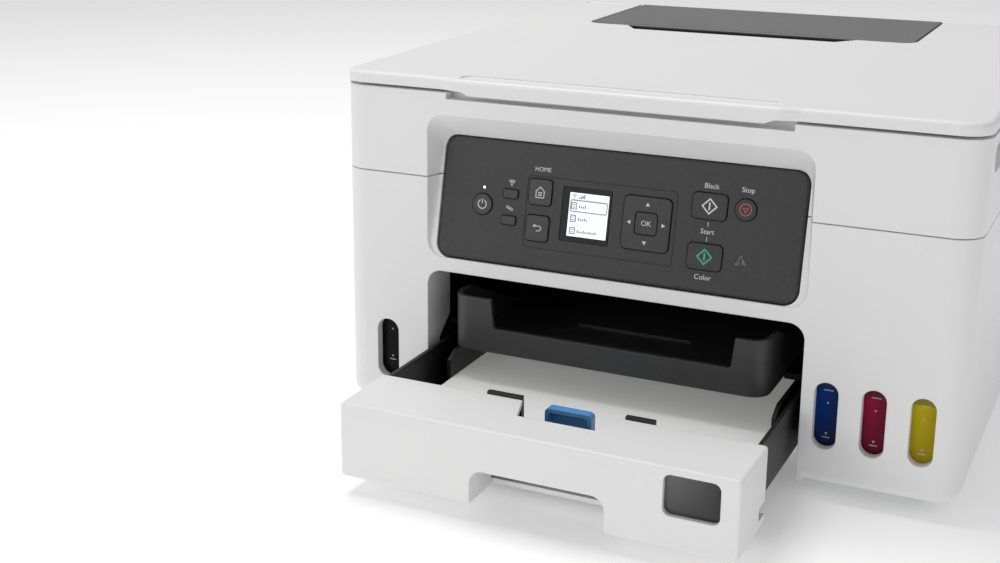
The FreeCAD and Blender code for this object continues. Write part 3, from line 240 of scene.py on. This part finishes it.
def plateGlass(name, look):
    material, tree, shader = newMaterial(name)
    smear = noise(tree, objectPlace(tree), look["smearScale"], 5)
    base = mixed(tree, ranged(tree, smear, 0.4, 0.7, 0, 1), look["colour"], look["smearColour"])
    if look.get("paintedLightColour"):
        # painted light: paler towards the upper left, standing in for the lit paper inside showing
        # through
        low, high = look["span"]
        parts = addNode(tree, "SeparateXYZ")
        wire(tree, objectPlace(tree), parts, "Vector")
        across = ranged(tree, parts.outputs["X"], low.x, high.x, 1, 0)
        up = ranged(tree, parts.outputs["Z"], low.z, high.z, 0.3, 1)
        pale = mixed(tree, across, look["colour"], look["paintedLightColour"])
        base = mixed(tree, up, base, pale)
    wire(tree, base, shader, "Base Color")
    wire(tree, ranged(tree, smear, 0.35, 0.75, 0.02, 0.12), shader, "Roughness")
    shader.inputs["Transmission Weight"].default_value = look["clear"]
    shader.inputs["IOR"].default_value = 1.5
    shader.inputs["Specular IOR Level"].default_value = look.get("specular", 0.5)
    shader.inputs["Coat Weight"].default_value = look.get("coat", 0.5)
    shader.inputs["Coat Roughness"].default_value = 0.03
    return material


# ink stands up to the level line, and above it the tank is empty and stained
inkFill = {"level": 0.0685, "blurBelow": 0.0004, "blurAbove": 0.0012, "fade": 0.032,
           "ripple": 0.0008}


def inkTank(name, look):
    material, tree, shader = newMaterial(name)
    place = objectPlace(tree)
    parts = addNode(tree, "SeparateXYZ")
    wire(tree, place, parts, "Vector")
    ripple = noise(tree, place, 240, 2)
    height = addNode(tree, "Math", operation="MULTIPLY_ADD")
    wire(tree, ripple, height, 0)
    height.inputs[1].default_value = inkFill["ripple"]
    tree.links.new(parts.outputs["Z"], height.inputs[2])
    level = inkFill["level"]
    filled = ranged(tree, height.outputs["Value"], level - inkFill["blurBelow"],
                    level + inkFill["blurAbove"], 0, 1)
    # painted shade: the ink darkens over the fade distance below the level line, and again towards
    # the right
    deep = ranged(tree, height.outputs["Value"], level - inkFill["fade"], level, 0, 1)
    across = ranged(tree, parts.outputs["X"], look["left"], look["right"], 0, 1)
    ink = mixed(tree, deep, look["deep"], look["ink"])
    ink = mixed(tree, across, ink, look["deep"])
    base = mixed(tree, filled, ink, look["empty"])
    streak = noise(tree, objectPlace(tree, (900, 900, 60)), 1, 3)
    base = mixed(tree, ranged(tree, streak, 0.5, 0.8, 0, 0.25), base, look["deep"])
    wire(tree, base, shader, "Base Color")
    wire(tree, ranged(tree, ripple, 0.3, 0.7, 0.14, 0.24), shader, "Roughness")
    bumped(tree, shader, ripple, 0.06, 0.0002)
    shader.inputs["Specular IOR Level"].default_value = 0.1
    return material


def circuitBoard(name):
    material, tree, shader = newMaterial(name)
    place = objectPlace(tree)
    tracks = addNode(tree, "TexBrick", Scale=260, offset=0.37, squash=0.7)
    wire(tree, place, tracks, "Vector")
    for key, value in (("Mortar Size", 0.09), ("Color1", (0.012, 0.10, 0.04, 1)),
                       ("Color2", (0.016, 0.13, 0.05, 1)), ("Mortar", (0.03, 0.24, 0.10, 1))):
        tracks.inputs[key].default_value = value
    pads = addNode(tree, "TexVoronoi", Scale=330)
    wire(tree, place, pads, "Vector")
    solder = ranged(tree, pads.outputs["Distance"], 0.17, 0.12, 0, 1)
    plated = mixed(tree, solder, tracks.outputs["Color"], (0.62, 0.62, 0.58, 1))
    wire(tree, plated, shader, "Base Color")
    wire(tree, solder, shader, "Metallic")
    wire(tree, ranged(tree, solder, 0, 1, 0.42, 0.25), shader, "Roughness")
    bumped(tree, shader, solder, 0.3, 0.0002)
    return material


def glowing(name, colour, strength, rough=0.2):
    material, tree, shader = newMaterial(name)
    haze = noise(tree, objectPlace(tree), 500, 3)
    hazy = mixed(tree, ranged(tree, haze, 0.3, 0.7, 0, 0.25), colour, grey(0.6))
    wire(tree, hazy, shader, "Base Color")
    wire(tree, ranged(tree, haze, 0.3, 0.7, rough, rough + 0.1), shader, "Roughness")
    shader.inputs["Emission Color"].default_value = colour
    shader.inputs["Emission Strength"].default_value = strength
    return material


def printedInk(name, colour, rough=0.55, strength=0.0):
    material, tree, shader = newMaterial(name)
    coverage = noise(tree, objectPlace(tree), 2600, 4, 0.7)
    thin = tuple(0.86 * part for part in colour[:3]) + (1,)
    printed = mixed(tree, ranged(tree, coverage, 0.35, 0.7, 0, 1), colour, thin)
    wire(tree, printed, shader, "Base Color")
    wire(tree, ranged(tree, coverage, 0.3, 0.7, rough - 0.06, rough + 0.08), shader, "Roughness")
    if strength:
        shader.inputs["Emission Color"].default_value = colour
        shader.inputs["Emission Strength"].default_value = strength
    return material


def tankLook(node, ink, deep, empty):
    # painted shade: the ink is painted darker from about a third of the width towards the right
    low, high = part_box(node)
    return {"left": low.x + (high.x - low.x) * 0.35, "right": high.x, "ink": ink, "deep": deep,
            "empty": empty}


materials.update({
    "steel": brushedSteel("steel", {"stretch": (1, 26, 26), "colour": (0.56, 0.57, 0.58, 1),
                                    "lineColour": (0.66, 0.67, 0.68, 1),
                                    "patchColour": (0.45, 0.46, 0.48, 1)}),
    "rubber": rubberLike("rubber", {"colour": grey(0.022), "dustColour": grey(0.09), "dust": 0.4,
                                    "rough": (0.75, 0.92), "cellScale": 900, "bump": 0.4}),
    "foam": rubberLike("foam", {"colour": (0.80, 0.80, 0.79, 1),
                                "dustColour": (0.72, 0.72, 0.71, 1), "dust": 0.5,
                                "rough": (0.85, 0.95), "cellScale": 650, "bump": 0.7}),
    "paper": paperLike("paper", {"colour": (0.93, 0.93, 0.92, 1),
                                 "fibreColour": (0.88, 0.88, 0.87, 1),
                                 "gapShadeColour": (0.52, 0.52, 0.5, 1), "glowColour": (1, 1, 0.98, 1),
                                 "glow": 0.16}),
    "scannerGlass": plateGlass("scannerGlass", {"colour": (0.80, 0.88, 0.86, 1), "clear": 0.9,
                                                "smearColour": (0.74, 0.84, 0.82, 1),
                                                "smearScale": 14}),
    "smokedWindow": plateGlass("smokedWindow", {"colour": grey(0.020), "smearColour": grey(0.028),
                                                "smearScale": 40, "clear": 0.0, "specular": 0.3,
                                                "coat": 0.0, "paintedLightColour": grey(0.16),
                                                "span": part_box("cassette_window")}),
    "displayGlass": plateGlass("displayGlass", {"colour": grey(0.003), "smearColour": grey(0.005),
                                                "smearScale": 60, "clear": 0.0, "specular": 0.12,
                                                "coat": 0.0}),
    "board": circuitBoard("board"),
    "whiteGlow": glowing("whiteGlow", (0.95, 0.97, 1.0, 1), 1.2),
    "unlitLamp": glowing("unlitLamp", (0.030, 0.028, 0.026, 1), 0.0, 0.3),
    "inkBlack": inkTank("inkBlack", tankLook("ink_tank_black", grey(0.004), grey(0.002),
                                             grey(0.012))),
    "inkCyan": inkTank("inkCyan", tankLook("ink_tank_cyan", (0.001, 0.030, 0.20, 1),
                                           (0.0008, 0.010, 0.06, 1), (0.012, 0.03, 0.07, 1))),
    "inkMagenta": inkTank("inkMagenta", tankLook("ink_tank_magenta", (0.26, 0.001, 0.045, 1),
                                                 (0.12, 0.0006, 0.018, 1),
                                                 (0.08, 0.012, 0.03, 1))),
    "inkYellow": inkTank("inkYellow", tankLook("ink_tank_yellow", (0.50, 0.41, 0.003, 1),
                                               (0.34, 0.25, 0.001, 1), (0.24, 0.20, 0.03, 1))),
    "printWhite": printedInk("printWhite", grey(0.72)),
    "printGrey": printedInk("printGrey", grey(0.44)),
    "printRed": printedInk("printRed", (0.50, 0.11, 0.11, 1)),
    "printTeal": printedInk("printTeal", (0.06, 0.46, 0.33, 1)),
    "screenWhite": printedInk("screenWhite", (0.82, 0.88, 0.90, 1), 0.2, 0.55),
    "screenGrey": printedInk("screenGrey", (0.16, 0.15, 0.21, 1), 0.2),
    "screenViolet": printedInk("screenViolet", (0.22, 0.22, 0.34, 1), 0.2),
})

finishes = {
    "whiteShell": ["lower_housing", "upper_housing", "scanner_lid", "cassette_front", "lid_hinges"],
    "panelGrey": ["control_panel"],
    "coverGrey": ["rear_tray_cover"],
    "cassetteBlack": ["cassette_tray", "left_paper_guide", "right_paper_guide"],
    "trayBlack": ["output_tray", "ink_cap_black", "platen", "maintenance_cartridge",
                  "rear_access_cover"],
    "frameBlack": ["inner_frame", "print_carriage", "power_inlet", "power_supply",
                   "unit_hinge_pins", "rear_tray_chute", "scanner_floor"],
    "keyDark": ["power_button", "wireless_button", "connect_button", "home_button", "back_button",
                "navigation_pad", "ok_button", "mono_start_button", "colour_start_button",
                "stop_button"],
    "leverBlue": ["front_guide_lever"],
    "gearNylon": ["feed_gear", "motor_pinion"],
    "steel": ["base_plate", "carriage_rail", "feed_motor", "scan_rail", "housing_screws"],
    "rubber": ["rubber_feet", "drive_belt", "feed_roller", "eject_roller"],
    "foam": ["lid_pad"],
    "paper": ["paper_stack"],
    "scannerGlass": ["scanner_glass"],
    "smokedWindow": ["cassette_window"],
    "displayGlass": ["display_window", "scan_bar"],
    "board": ["main_board", "panel_board"],
    "unlitLamp": ["alert_lamp"],
    "inkBlack": ["ink_tank_black"],
    "inkCyan": ["ink_tank_cyan", "ink_cap_cyan"],
    "inkMagenta": ["ink_tank_magenta", "ink_cap_magenta"],
    "inkYellow": ["ink_tank_yellow", "ink_cap_yellow"],
}
for finish, members in finishes.items():
    for member in members:
        slots = nodes[member].data.materials
        slots.clear()
        slots.append(materials[finish])
left = sorted(set(nodes) - {member for members in finishes.values() for member in members})
print("materials made; nodes without one:", left)


# helpers that model small flat pieces
def deselect():
    if bpy.context.object and bpy.context.object.mode != "OBJECT":
        bpy.ops.object.mode_set(mode="OBJECT")
    bpy.ops.object.select_all(action="DESELECT")


def selectOnly(piece):
    deselect()
    piece.select_set(True)
    bpy.context.view_layer.objects.active = piece


def edit(piece):
    selectOnly(piece)
    bpy.ops.object.mode_set(mode="EDIT")


def pickFaces(piece, test):
    shape = bmesh.from_edit_mesh(piece.data)
    bpy.ops.mesh.select_all(action="DESELECT")
    for face in shape.faces:
        face.select_set(test(face.calc_center_median(), face.normal))
    bmesh.update_edit_mesh(piece.data)


def thicken(thick):
    # a flat outline becomes a thin solid standing on z = 0
    bpy.ops.mesh.select_all(action="SELECT")
    bpy.ops.mesh.extrude_region_move(TRANSFORM_OT_translate={"value": (0, 0, thick)})
    bpy.ops.mesh.select_all(action="SELECT")
    bpy.ops.mesh.normals_make_consistent(inside=False)
    bpy.ops.object.mode_set(mode="OBJECT")


def roundCorners(corner, segments):
    bpy.ops.mesh.select_all(action="SELECT")
    if corner:
        bpy.ops.mesh.bevel(offset=corner * mm, segments=segments, affect="VERTICES")
        bpy.ops.mesh.select_all(action="SELECT")


def keepBand(band):
    # the middle of a flat outline is taken out, and a band along its edge stays
    bpy.ops.mesh.inset(thickness=band * mm, depth=0)
    bpy.ops.mesh.delete(type="FACE")


def roundedOutline(width, height, corner, segments):
    deselect()
    bpy.ops.mesh.primitive_plane_add(size=1)
    piece = bpy.context.active_object
    piece.scale = (width * mm, height * mm, 1)
    bpy.ops.object.transform_apply(location=False, rotation=False, scale=True)
    edit(piece)
    roundCorners(corner, segments)
    return piece


def flatPlate(width, height, corner=0.0, thick=0.05, segments=4):
    piece = roundedOutline(width, height, corner, segments)
    thicken(thick * mm)
    return piece


def outlineBand(width, height, corner, band, thick=0.05, segments=5):
    piece = roundedOutline(width, height, corner, segments)
    keepBand(band)
    thicken(thick * mm)
    return piece


def polygonPlate(sides, radius, corner=0.0, thick=0.05, turn=0.0, band=0.0):
    deselect()
    bpy.ops.mesh.primitive_circle_add(vertices=sides, radius=radius * mm, fill_type="NGON")
    piece = bpy.context.active_object
    piece.rotation_euler.z = math.radians(turn)
    bpy.ops.object.transform_apply(location=False, rotation=True, scale=False)
    edit(piece)
    roundCorners(corner, 3)
    if band:
        keepBand(band)
    thicken(thick * mm)
    return piece


def arcBand(inner, outer, startAngle, endAngle, thick=0.05, steps=72):
    deselect()
    bpy.ops.mesh.primitive_circle_add(vertices=steps, radius=outer * mm, fill_type="NOTHING")
    piece = bpy.context.active_object
    edit(piece)
    bpy.ops.mesh.select_all(action="SELECT")
    bpy.ops.mesh.extrude_edges_move(TRANSFORM_OT_translate={"value": (0, 0, 0)})
    bpy.ops.transform.resize(value=(inner / outer,) * 3, center_override=(0, 0, 0))
    span = (endAngle - startAngle) % 360 or 360

    def outside(centre, normal):
        return (math.degrees(math.atan2(centre.y, centre.x)) - startAngle) % 360 > span

    if span < 360:
        pickFaces(piece, outside)
        bpy.ops.mesh.delete(type="FACE")
    thicken(thick * mm)
    return piece


def word(text, size, thick=0.05):
    deselect()
    bpy.ops.object.text_add()
    piece = bpy.context.active_object
    piece.data.body = text
    piece.data.size = size * mm
    piece.data.align_x = "CENTER"
    piece.data.align_y = "CENTER"
    piece.data.extrude = thick * mm / 2
    piece.data.resolution_u = 3
    bpy.ops.object.convert(target="MESH")
    piece = bpy.context.active_object
    piece.location.z = thick * mm / 2
    bpy.ops.object.transform_apply(location=True, rotation=False, scale=False)
    edit(piece)
    bpy.ops.mesh.select_all(action="SELECT")
    bpy.ops.mesh.remove_doubles(threshold=0.000001)
    bpy.ops.object.mode_set(mode="OBJECT")
    return piece


def moved(piece, x, y, z=0.0, turn=0.0):
    selectOnly(piece)
    piece.rotation_euler.z = math.radians(turn)
    piece.location = (x * mm, y * mm, z * mm)
    bpy.ops.object.transform_apply(location=True, rotation=True, scale=True)
    return piece


def together(pieces):
    deselect()
    for piece in pieces:
        piece.select_set(True)
    bpy.context.view_layer.objects.active = pieces[0]
    if len(pieces) > 1:
        bpy.ops.object.join()
    return pieces[0]


def placed(piece, matrix):
    selectOnly(piece)
    piece.matrix_world = matrix @ piece.matrix_world
    bpy.ops.object.transform_apply(location=True, rotation=True, scale=True)
    return piece


def finished(piece, name, body, finish):
    piece.name = name
    piece.data.name = name
    piece.data.materials.clear()
    piece.data.materials.append(materials[finish])
    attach(piece, body)
    return piece


# control panel printing; places are along the tilted panel, in millimetres
panel = {"origin": (-14.6, -146.8, 117.3), "tilt": 78.0}
panelTurn = Matrix.Rotation(math.radians(panel["tilt"]), 4, "X")
panelOrigin = Vector(panel["origin"]) * mm


def panelSpan(node):
    # a node's lowest and highest corners along the panel's own axes, in millimetres
    turnBack = panelTurn.inverted()
    spots = [(turnBack @ (spot.co - panelOrigin)) / mm for spot in nodes[node].data.vertices]
    return (Vector([min(spot[axis] for spot in spots) for axis in range(3)]),
            Vector([max(spot[axis] for spot in spots) for axis in range(3)]))


def onPanel(piece, across, up, out=0.0, turn=0.0):
    matrix = (Matrix.Translation(panelOrigin) @ panelTurn
              @ Matrix.Translation(Vector((across, up, out)) * mm)
              @ Matrix.Rotation(math.radians(turn), 4, "Z"))
    return placed(piece, matrix)


def onKey(piece, node, body, name, finish, shift=(0, 0)):
    low, high = panelSpan(node)
    onPanel(piece, (low.x + high.x) / 2 + shift[0], (low.y + high.y) / 2 + shift[1], high.z)
    return finished(piece, name, body, finish)


def powerIcon(size):
    return together([arcBand(size * 0.8, size, 118, 62),
                     moved(flatPlate(size * 0.2, size * 0.95, 0.05), 0, size * 0.62)])


def wirelessIcon(size):
    pieces = [polygonPlate(20, size * 0.2)]
    for inner, outer in ((0.42, 0.58), (0.76, 0.92), (1.1, 1.26)):
        pieces.append(arcBand(size * inner, size * outer, 45, 135))
    return together(pieces)


def linkIcon(size):
    return together([moved(outlineBand(size * 1.2, size * 0.6, size * 0.29, size * 0.15),
                           side * size * 0.38, 0) for side in (-1, 1)])


def houseIcon(size):
    wall, roof = size * 0.15, size * 1.18
    parts = [moved(flatPlate(wall, size * 1.1), side * size * 0.72, -size * 0.42)
             for side in (-1, 1)]
    parts.append(moved(flatPlate(size * 1.59, wall), 0, -size * 0.93))
    parts += [moved(flatPlate(roof, wall), side * size * 0.42, size * 0.47, turn=-side * 45)
              for side in (-1, 1)]
    parts += [moved(flatPlate(size * 0.27, size * 0.27), side * size * 0.2, up * size)
              for side in (-1, 1) for up in (-0.08, -0.5)]
    return together(parts)


def returnIcon(size):
    return together([
        arcBand(size * 0.42, size * 0.6, 270, 90),
        moved(flatPlate(size * 1.0, size * 0.18), -size * 0.45, size * 0.51),
        moved(flatPlate(size * 0.6, size * 0.18), -size * 0.25, -size * 0.51),
        moved(polygonPlate(3, size * 0.42, turn=90), -size * 1.05, size * 0.51)])


def startIcon(size):
    return together([polygonPlate(4, size, band=size * 0.17),
                     flatPlate(size * 0.2, size * 0.9)])


def stopIcon(size):
    return together([arcBand(size * 0.84, size, 0, 360),
                     polygonPlate(3, size * 0.62, corner=size * 0.06, turn=180, band=size * 0.14)])


keyPrints = [
    # name, maker, size, key node, body, finish, shift
    ("power_icon", powerIcon, 3.1, "power_button", "power_key", "printWhite", (0, 0)),
    ("home_icon", houseIcon, 3.7, "home_button", "home_key", "printWhite", (0, 0)),
    ("back_icon", returnIcon, 2.9, "back_button", "back_key", "printWhite", (1.2, 0)),
    ("mono_start_icon", startIcon, 5.0, "mono_start_button", "mono_start_key", "printWhite",
     (0, 0)),
    ("colour_start_icon", startIcon, 5.0, "colour_start_button", "colour_start_key", "printTeal",
     (0, 0)),
    ("stop_icon", stopIcon, 3.7, "stop_button", "stop_key", "printRed", (0, 0)),
]
for name, maker, size, node, body, finish, shift in keyPrints:
    onKey(maker(size), node, body, name, finish, shift)
onKey(word("OK", 4.4), "ok_button", "ok_key", "ok_print", "printWhite")

arrowReach = {"side": 10.6, "up": 11.4, "size": 1.5}
arrows = []
for turn, x, y in ((90, -arrowReach["side"], 0), (-90, arrowReach["side"], 0),
                   (0, 0, arrowReach["up"]), (180, 0, -arrowReach["up"])):
    arrows.append(moved(polygonPlate(3, arrowReach["size"]), x, y, turn=turn))
onKey(together(arrows), "navigation_pad", "direction_key", "direction_arrows", "printWhite")

labels = [
    # text, across, up, size
    ("HOME", -48.5, 63.0, 3.9), ("Black", 59.4, 64.4, 4.3), ("Stop", 81.5, 64.4, 4.3),
    ("Start", 59.5, 37.3, 4.3), ("Color", 59.4, 10.0, 4.3),
]
signs = {"size": 2.6, "across": -68.7, "wirelessUp": 51.3, "linkUp": 36.6, "linkTurn": -25}
startBars = {"width": 0.35, "height": 2.6, "across": 59.5, "up": (32.9, 41.8)}
prints = [onPanel(word(text, size), across, up) for text, across, up, size in labels]
prints.append(onPanel(wirelessIcon(signs["size"]), signs["across"], signs["wirelessUp"]))
prints.append(onPanel(linkIcon(signs["size"]), signs["across"], signs["linkUp"],
                      turn=signs["linkTurn"]))
for up in startBars["up"]:
    prints.append(onPanel(flatPlate(startBars["width"], startBars["height"]),
                          startBars["across"], up))
finished(together(prints), "panel_labels", "printer_base", "printWhite")
print("panel printing made")


# display content
screen = {"left": -29.1, "right": -3.4, "low": 24.2, "high": 51.2, "layer": 0.03}
screenTop = panelSpan("display_window")[1].z
screenWidth = screen["right"] - screen["left"]
screenHeight = screen["high"] - screen["low"]
screenAcross = (screen["left"] + screen["right"]) / 2
screenUp = (screen["low"] + screen["high"]) / 2


def onScreen(piece, across, up, layer):
    return onPanel(piece, screen["left"] + across * screenWidth, screen["low"] + up * screenHeight,
                   screenTop + layer * screen["layer"])


lit = onPanel(flatPlate(screenWidth, screenHeight, 0.5, screen["layer"]), screenAcross,
              screenUp, screenTop)
finished(lit, "display_light", "printer_base", "screenWhite")

# places on the screen are shares of its width and height, sizes are in millimetres
signalBars = {"count": 4, "width": 0.8, "pitch": 1.15, "shortest": 0.9, "rise": 0.6}
rows = {"up": (0.70, 0.41, 0.13), "length": (6.0, 6.6, 13.0), "icon": 0.13, "text": 0.27,
        "pitch": 1.3, "block": 0.75, "short": 1.3, "tall": 1.9}
ruleLines = ((0.845, 0.18), (0.55, 0.14), (0.27, 0.14))  # height on the screen, thickness
bars = []
for bar in range(signalBars["count"]):
    tall = signalBars["shortest"] + signalBars["rise"] * bar
    bars.append(moved(flatPlate(signalBars["width"], tall), signalBars["pitch"] * bar, tall / 2))
shades = [onScreen(together(bars), 0.24, 0.87, 1), onScreen(wirelessIcon(2.0), 0.12, 0.875, 1)]
for up, thickness in ruleLines:
    shades.append(onScreen(flatPlate(screenWidth * 0.92, thickness), 0.5, up, 1))
for up, length in zip(rows["up"], rows["length"]):
    shades.append(onScreen(outlineBand(3.9, 4.5, 0.5, 0.6), rows["icon"], up, 1))
    for shift in (0.03, -0.03):
        shades.append(onScreen(flatPlate(2.2, 0.5), rows["icon"], up + shift, 1))
    for part in range(int(length / rows["pitch"])):
        tall = rows["tall"] if part % 3 == 0 else rows["short"]
        shades.append(onScreen(flatPlate(rows["block"], tall, 0.2),
                               rows["text"] + part * rows["pitch"] / screenWidth,
                               up - 0.02 + (tall - rows["short"]) / 2 / screenHeight, 1))
finished(together(shades), "display_marks", "printer_base", "screenGrey")
selected = onScreen(outlineBand(screenWidth * 0.95, 7.4, 0.8, 0.6), 0.5, rows["up"][0], 1)
finished(selected, "display_choice", "printer_base", "screenViolet")

# power light, and the mark in the alert lamp
powerLight = {"radius": 0.8, "thick": 0.06, "across": -87.3, "up": 47.9, "out": 0.05}
alertMark = {"across": 81.3, "up": 22.4, "barUp": 0.4, "dotUp": -1.7}
led = onPanel(polygonPlate(24, powerLight["radius"], thick=powerLight["thick"]),
              powerLight["across"], powerLight["up"], powerLight["out"])
finished(led, "power_light", "printer_base", "whiteGlow")
alertBar = together([moved(flatPlate(0.7, 2.6, 0.2), 0, alertMark["barUp"]),
                     moved(polygonPlate(16, 0.45), 0, alertMark["dotUp"])])
alertBar = onPanel(alertBar, alertMark["across"], alertMark["up"], panelSpan("alert_lamp")[1].z)
finished(alertBar, "alert_mark", "printer_base", "frameBlack")
print("display made")


# ink window marks
# the four small bars, dot, triangle and long bar hang below the window's top by these shares
windowMarks = {"low": 33.6, "high": 75.0, "bars": 4, "barWidth": 1.15, "barPitch": 1.4,
               "longBar": 4.4, "bar": 0.6, "dot": 0.55, "triangle": 1.0,
               "barsAt": 0.16, "dotAt": 0.35, "triangleAt": 0.81, "longBarAt": 0.87}
standing = Matrix.Rotation(math.radians(90), 4, "X")


def windowMark(node, body, name, finish):
    low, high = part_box(node)

    def below(share):
        return windowMarks["high"] - share * (windowMarks["high"] - windowMarks["low"])

    pieces = []
    middle = (windowMarks["bars"] - 1) / 2
    for part in range(windowMarks["bars"]):
        pieces.append(moved(flatPlate(windowMarks["barWidth"], windowMarks["bar"]),
                            windowMarks["barPitch"] * (part - middle),
                            below(windowMarks["barsAt"])))
    pieces.append(moved(polygonPlate(16, windowMarks["dot"]), 0, below(windowMarks["dotAt"])))
    pieces.append(moved(polygonPlate(3, windowMarks["triangle"], turn=180), 0,
                        below(windowMarks["triangleAt"])))
    pieces.append(moved(flatPlate(windowMarks["longBar"], windowMarks["bar"]), 0,
                        below(windowMarks["longBarAt"])))
    piece = together(pieces)
    placed(piece, Matrix.Translation(((low.x + high.x) / 2, low.y, 0)) @ standing)
    return finished(piece, name, body, finish)


for colour in ("black", "cyan", "magenta", "yellow"):
    windowMark("ink_tank_" + colour, "printer_base", colour + "_level_marks", "printGrey")
print("ink window marks made")


# separate sheets in place of the solid stack
stack = {"sheets": 24, "corner": 0.4, "stray": 0.25, "slack": 0.002, "fill": 0.82}
low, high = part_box("paper_stack")
pitch = (high.z - low.z) / stack["sheets"] / mm
sheets = []
for sheet in range(stack["sheets"]):
    slack = 1 - stack["slack"] * (1 + math.sin(sheet * 2.3))
    leaf = flatPlate((high.x - low.x) / mm * slack, (high.y - low.y) / mm - 2 * stack["stray"],
                     stack["corner"], pitch * stack["fill"], 2)
    sheets.append(moved(leaf, stack["stray"] * math.sin(sheet * 1.7) * 0.4,
                        stack["stray"] * math.cos(sheet * 2.9), sheet * pitch))
stackPlace = Matrix.Translation(((low.x + high.x) / 2, (low.y + high.y) / 2, low.z))
paper = placed(together(sheets), stackPlace)
finished(paper, "paper_sheets", "cassette", "paper")
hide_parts("paper_stack")
print("paper made")


# ruler ticks beside the scanner glass, and a corner arrow
ruler = {"step": 10.0, "short": 2.4, "long": 4.4, "line": 0.35, "gap": 2.0, "across": 29,
         "along": 21, "arrow": 3.2, "arrowOut": 5}
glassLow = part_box("scanner_glass")[0]
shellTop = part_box("upper_housing")[1].z


def onShellTop(piece, x, y, turn=0.0):
    turned = Matrix.Rotation(math.radians(turn), 4, "Z")
    return placed(piece, Matrix.Translation((x, y, shellTop)) @ turned)


def tick(index, across):
    length = ruler["long"] if index % 5 == 0 else ruler["short"]
    step = index * ruler["step"] * mm
    out = (ruler["gap"] + length / 2) * mm
    if across:
        return onShellTop(flatPlate(ruler["line"], length), glassLow.x + step, glassLow.y - out)
    return onShellTop(flatPlate(length, ruler["line"]), glassLow.x - out, glassLow.y + step)


ticks = [tick(index + 1, True) for index in range(ruler["across"])]
ticks += [tick(index + 1, False) for index in range(ruler["along"])]
ticks.append(onShellTop(polygonPlate(3, ruler["arrow"]), glassLow.x - ruler["arrowOut"] * mm,
                        glassLow.y - ruler["arrowOut"] * mm, -45))
finished(together(ticks), "glass_ruler", "scanner_unit", "panelGrey")


# cross slots in the screw heads, drawn as flat black crosses: painted shade in place of the
# recessed slots
crossSlot = {"length": 3.6, "width": 0.8, "cell": 0.02}  # each screw fits in one cell
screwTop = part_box("housing_screws")[1].y
screwSpots = {}
for spot in nodes["housing_screws"].data.vertices:
    cell = (round(spot.co.x / crossSlot["cell"]), round(spot.co.z / crossSlot["cell"]))
    screwSpots.setdefault(cell, []).append(spot.co)
slots = []
for group in screwSpots.values():
    middleX = (min(spot.x for spot in group) + max(spot.x for spot in group)) / 2
    middleZ = (min(spot.z for spot in group) + max(spot.z for spot in group)) / 2
    cross = together([flatPlate(crossSlot["length"], crossSlot["width"], 0.2),
                      flatPlate(crossSlot["width"], crossSlot["length"], 0.2)])
    backward = Matrix.Rotation(math.radians(180), 4, "Z") @ standing
    slots.append(placed(cross, Matrix.Translation((middleX, screwTop, middleZ)) @ backward))
finished(together(slots), "screw_slots", "printer_base", "frameBlack")
print("ruler and screw slots made")


# camera, floor and light
camera = {"place": (291.9, -967.2, 392.9), "yaw": 26.74, "pitch": 15.3, "lens": 53.84,
          "shift": (0.05, -0.06)}
cameraData = bpy.data.cameras.new("camera")
cameraData.lens = camera["lens"]
cameraData.shift_x, cameraData.shift_y = camera["shift"]
cameraData.clip_start, cameraData.clip_end = 0.01, 50
cameraObject = bpy.data.objects.new("camera", cameraData)
bpy.context.scene.collection.objects.link(cameraObject)
cameraObject.location = Vector(camera["place"]) * mm
cameraObject.rotation_euler = (math.radians(90 - camera["pitch"]), 0, math.radians(camera["yaw"]))
bpy.context.scene.camera = cameraObject

studio = {"floorSize": 12, "floorColour": grey(0.88), "floorPatch": grey(0.9), "floorRough": 0.85,
          "floorGlow": 0.24, "skyStrength": 0.42}
deselect()
bpy.ops.mesh.primitive_plane_add(size=studio["floorSize"], location=(0, 0, 0))
floor = bpy.context.active_object
floor.name = "floor"
floorMaterial, tree, shader = newMaterial("floorPaint")
patches = noise(tree, objectPlace(tree), 3, 2)
painted = mixed(tree, patches, studio["floorColour"], studio["floorPatch"])
wire(tree, painted, shader, "Base Color")
shader.inputs["Roughness"].default_value = studio["floorRough"]
shader.inputs["Emission Color"].default_value = grey(1)
shader.inputs["Emission Strength"].default_value = studio["floorGlow"]
floor.data.materials.append(floorMaterial)

lamps = [
    # name, place, aim, width, height, power
    ("keyLight", (-1.3, -2.4, 0.75), (0, 0, 0.1), 1.4, 0.9, 11),
    ("fillLight", (1.9, -1.4, 0.9), (0, 0, 0.1), 1.2, 1.0, 2.5),
    ("topLight", (-0.6, 0.1, 2.0), (-0.1, 0, 0.1), 1.2, 1.0, 22),
]
for name, place, aim, width, height, power in lamps:
    lampData = bpy.data.lights.new(name, "AREA")
    lampData.shape = "RECTANGLE"
    lampData.size, lampData.size_y = width, height
    lampData.energy = power
    lampObject = bpy.data.objects.new(name, lampData)
    lampObject.location = place
    lampObject.rotation_euler = (Vector(aim) - Vector(place)).to_track_quat("-Z", "Y").to_euler()
    bpy.context.scene.collection.objects.link(lampObject)
world = bpy.data.worlds.new("studio")
world.use_nodes = True
background = world.node_tree.nodes["Background"]
background.inputs["Color"].default_value = (1, 1, 1, 1)
background.inputs["Strength"].default_value = studio["skyStrength"]
bpy.context.scene.world = world
bpy.context.scene.view_settings.view_transform = "Standard"
print("studio made")
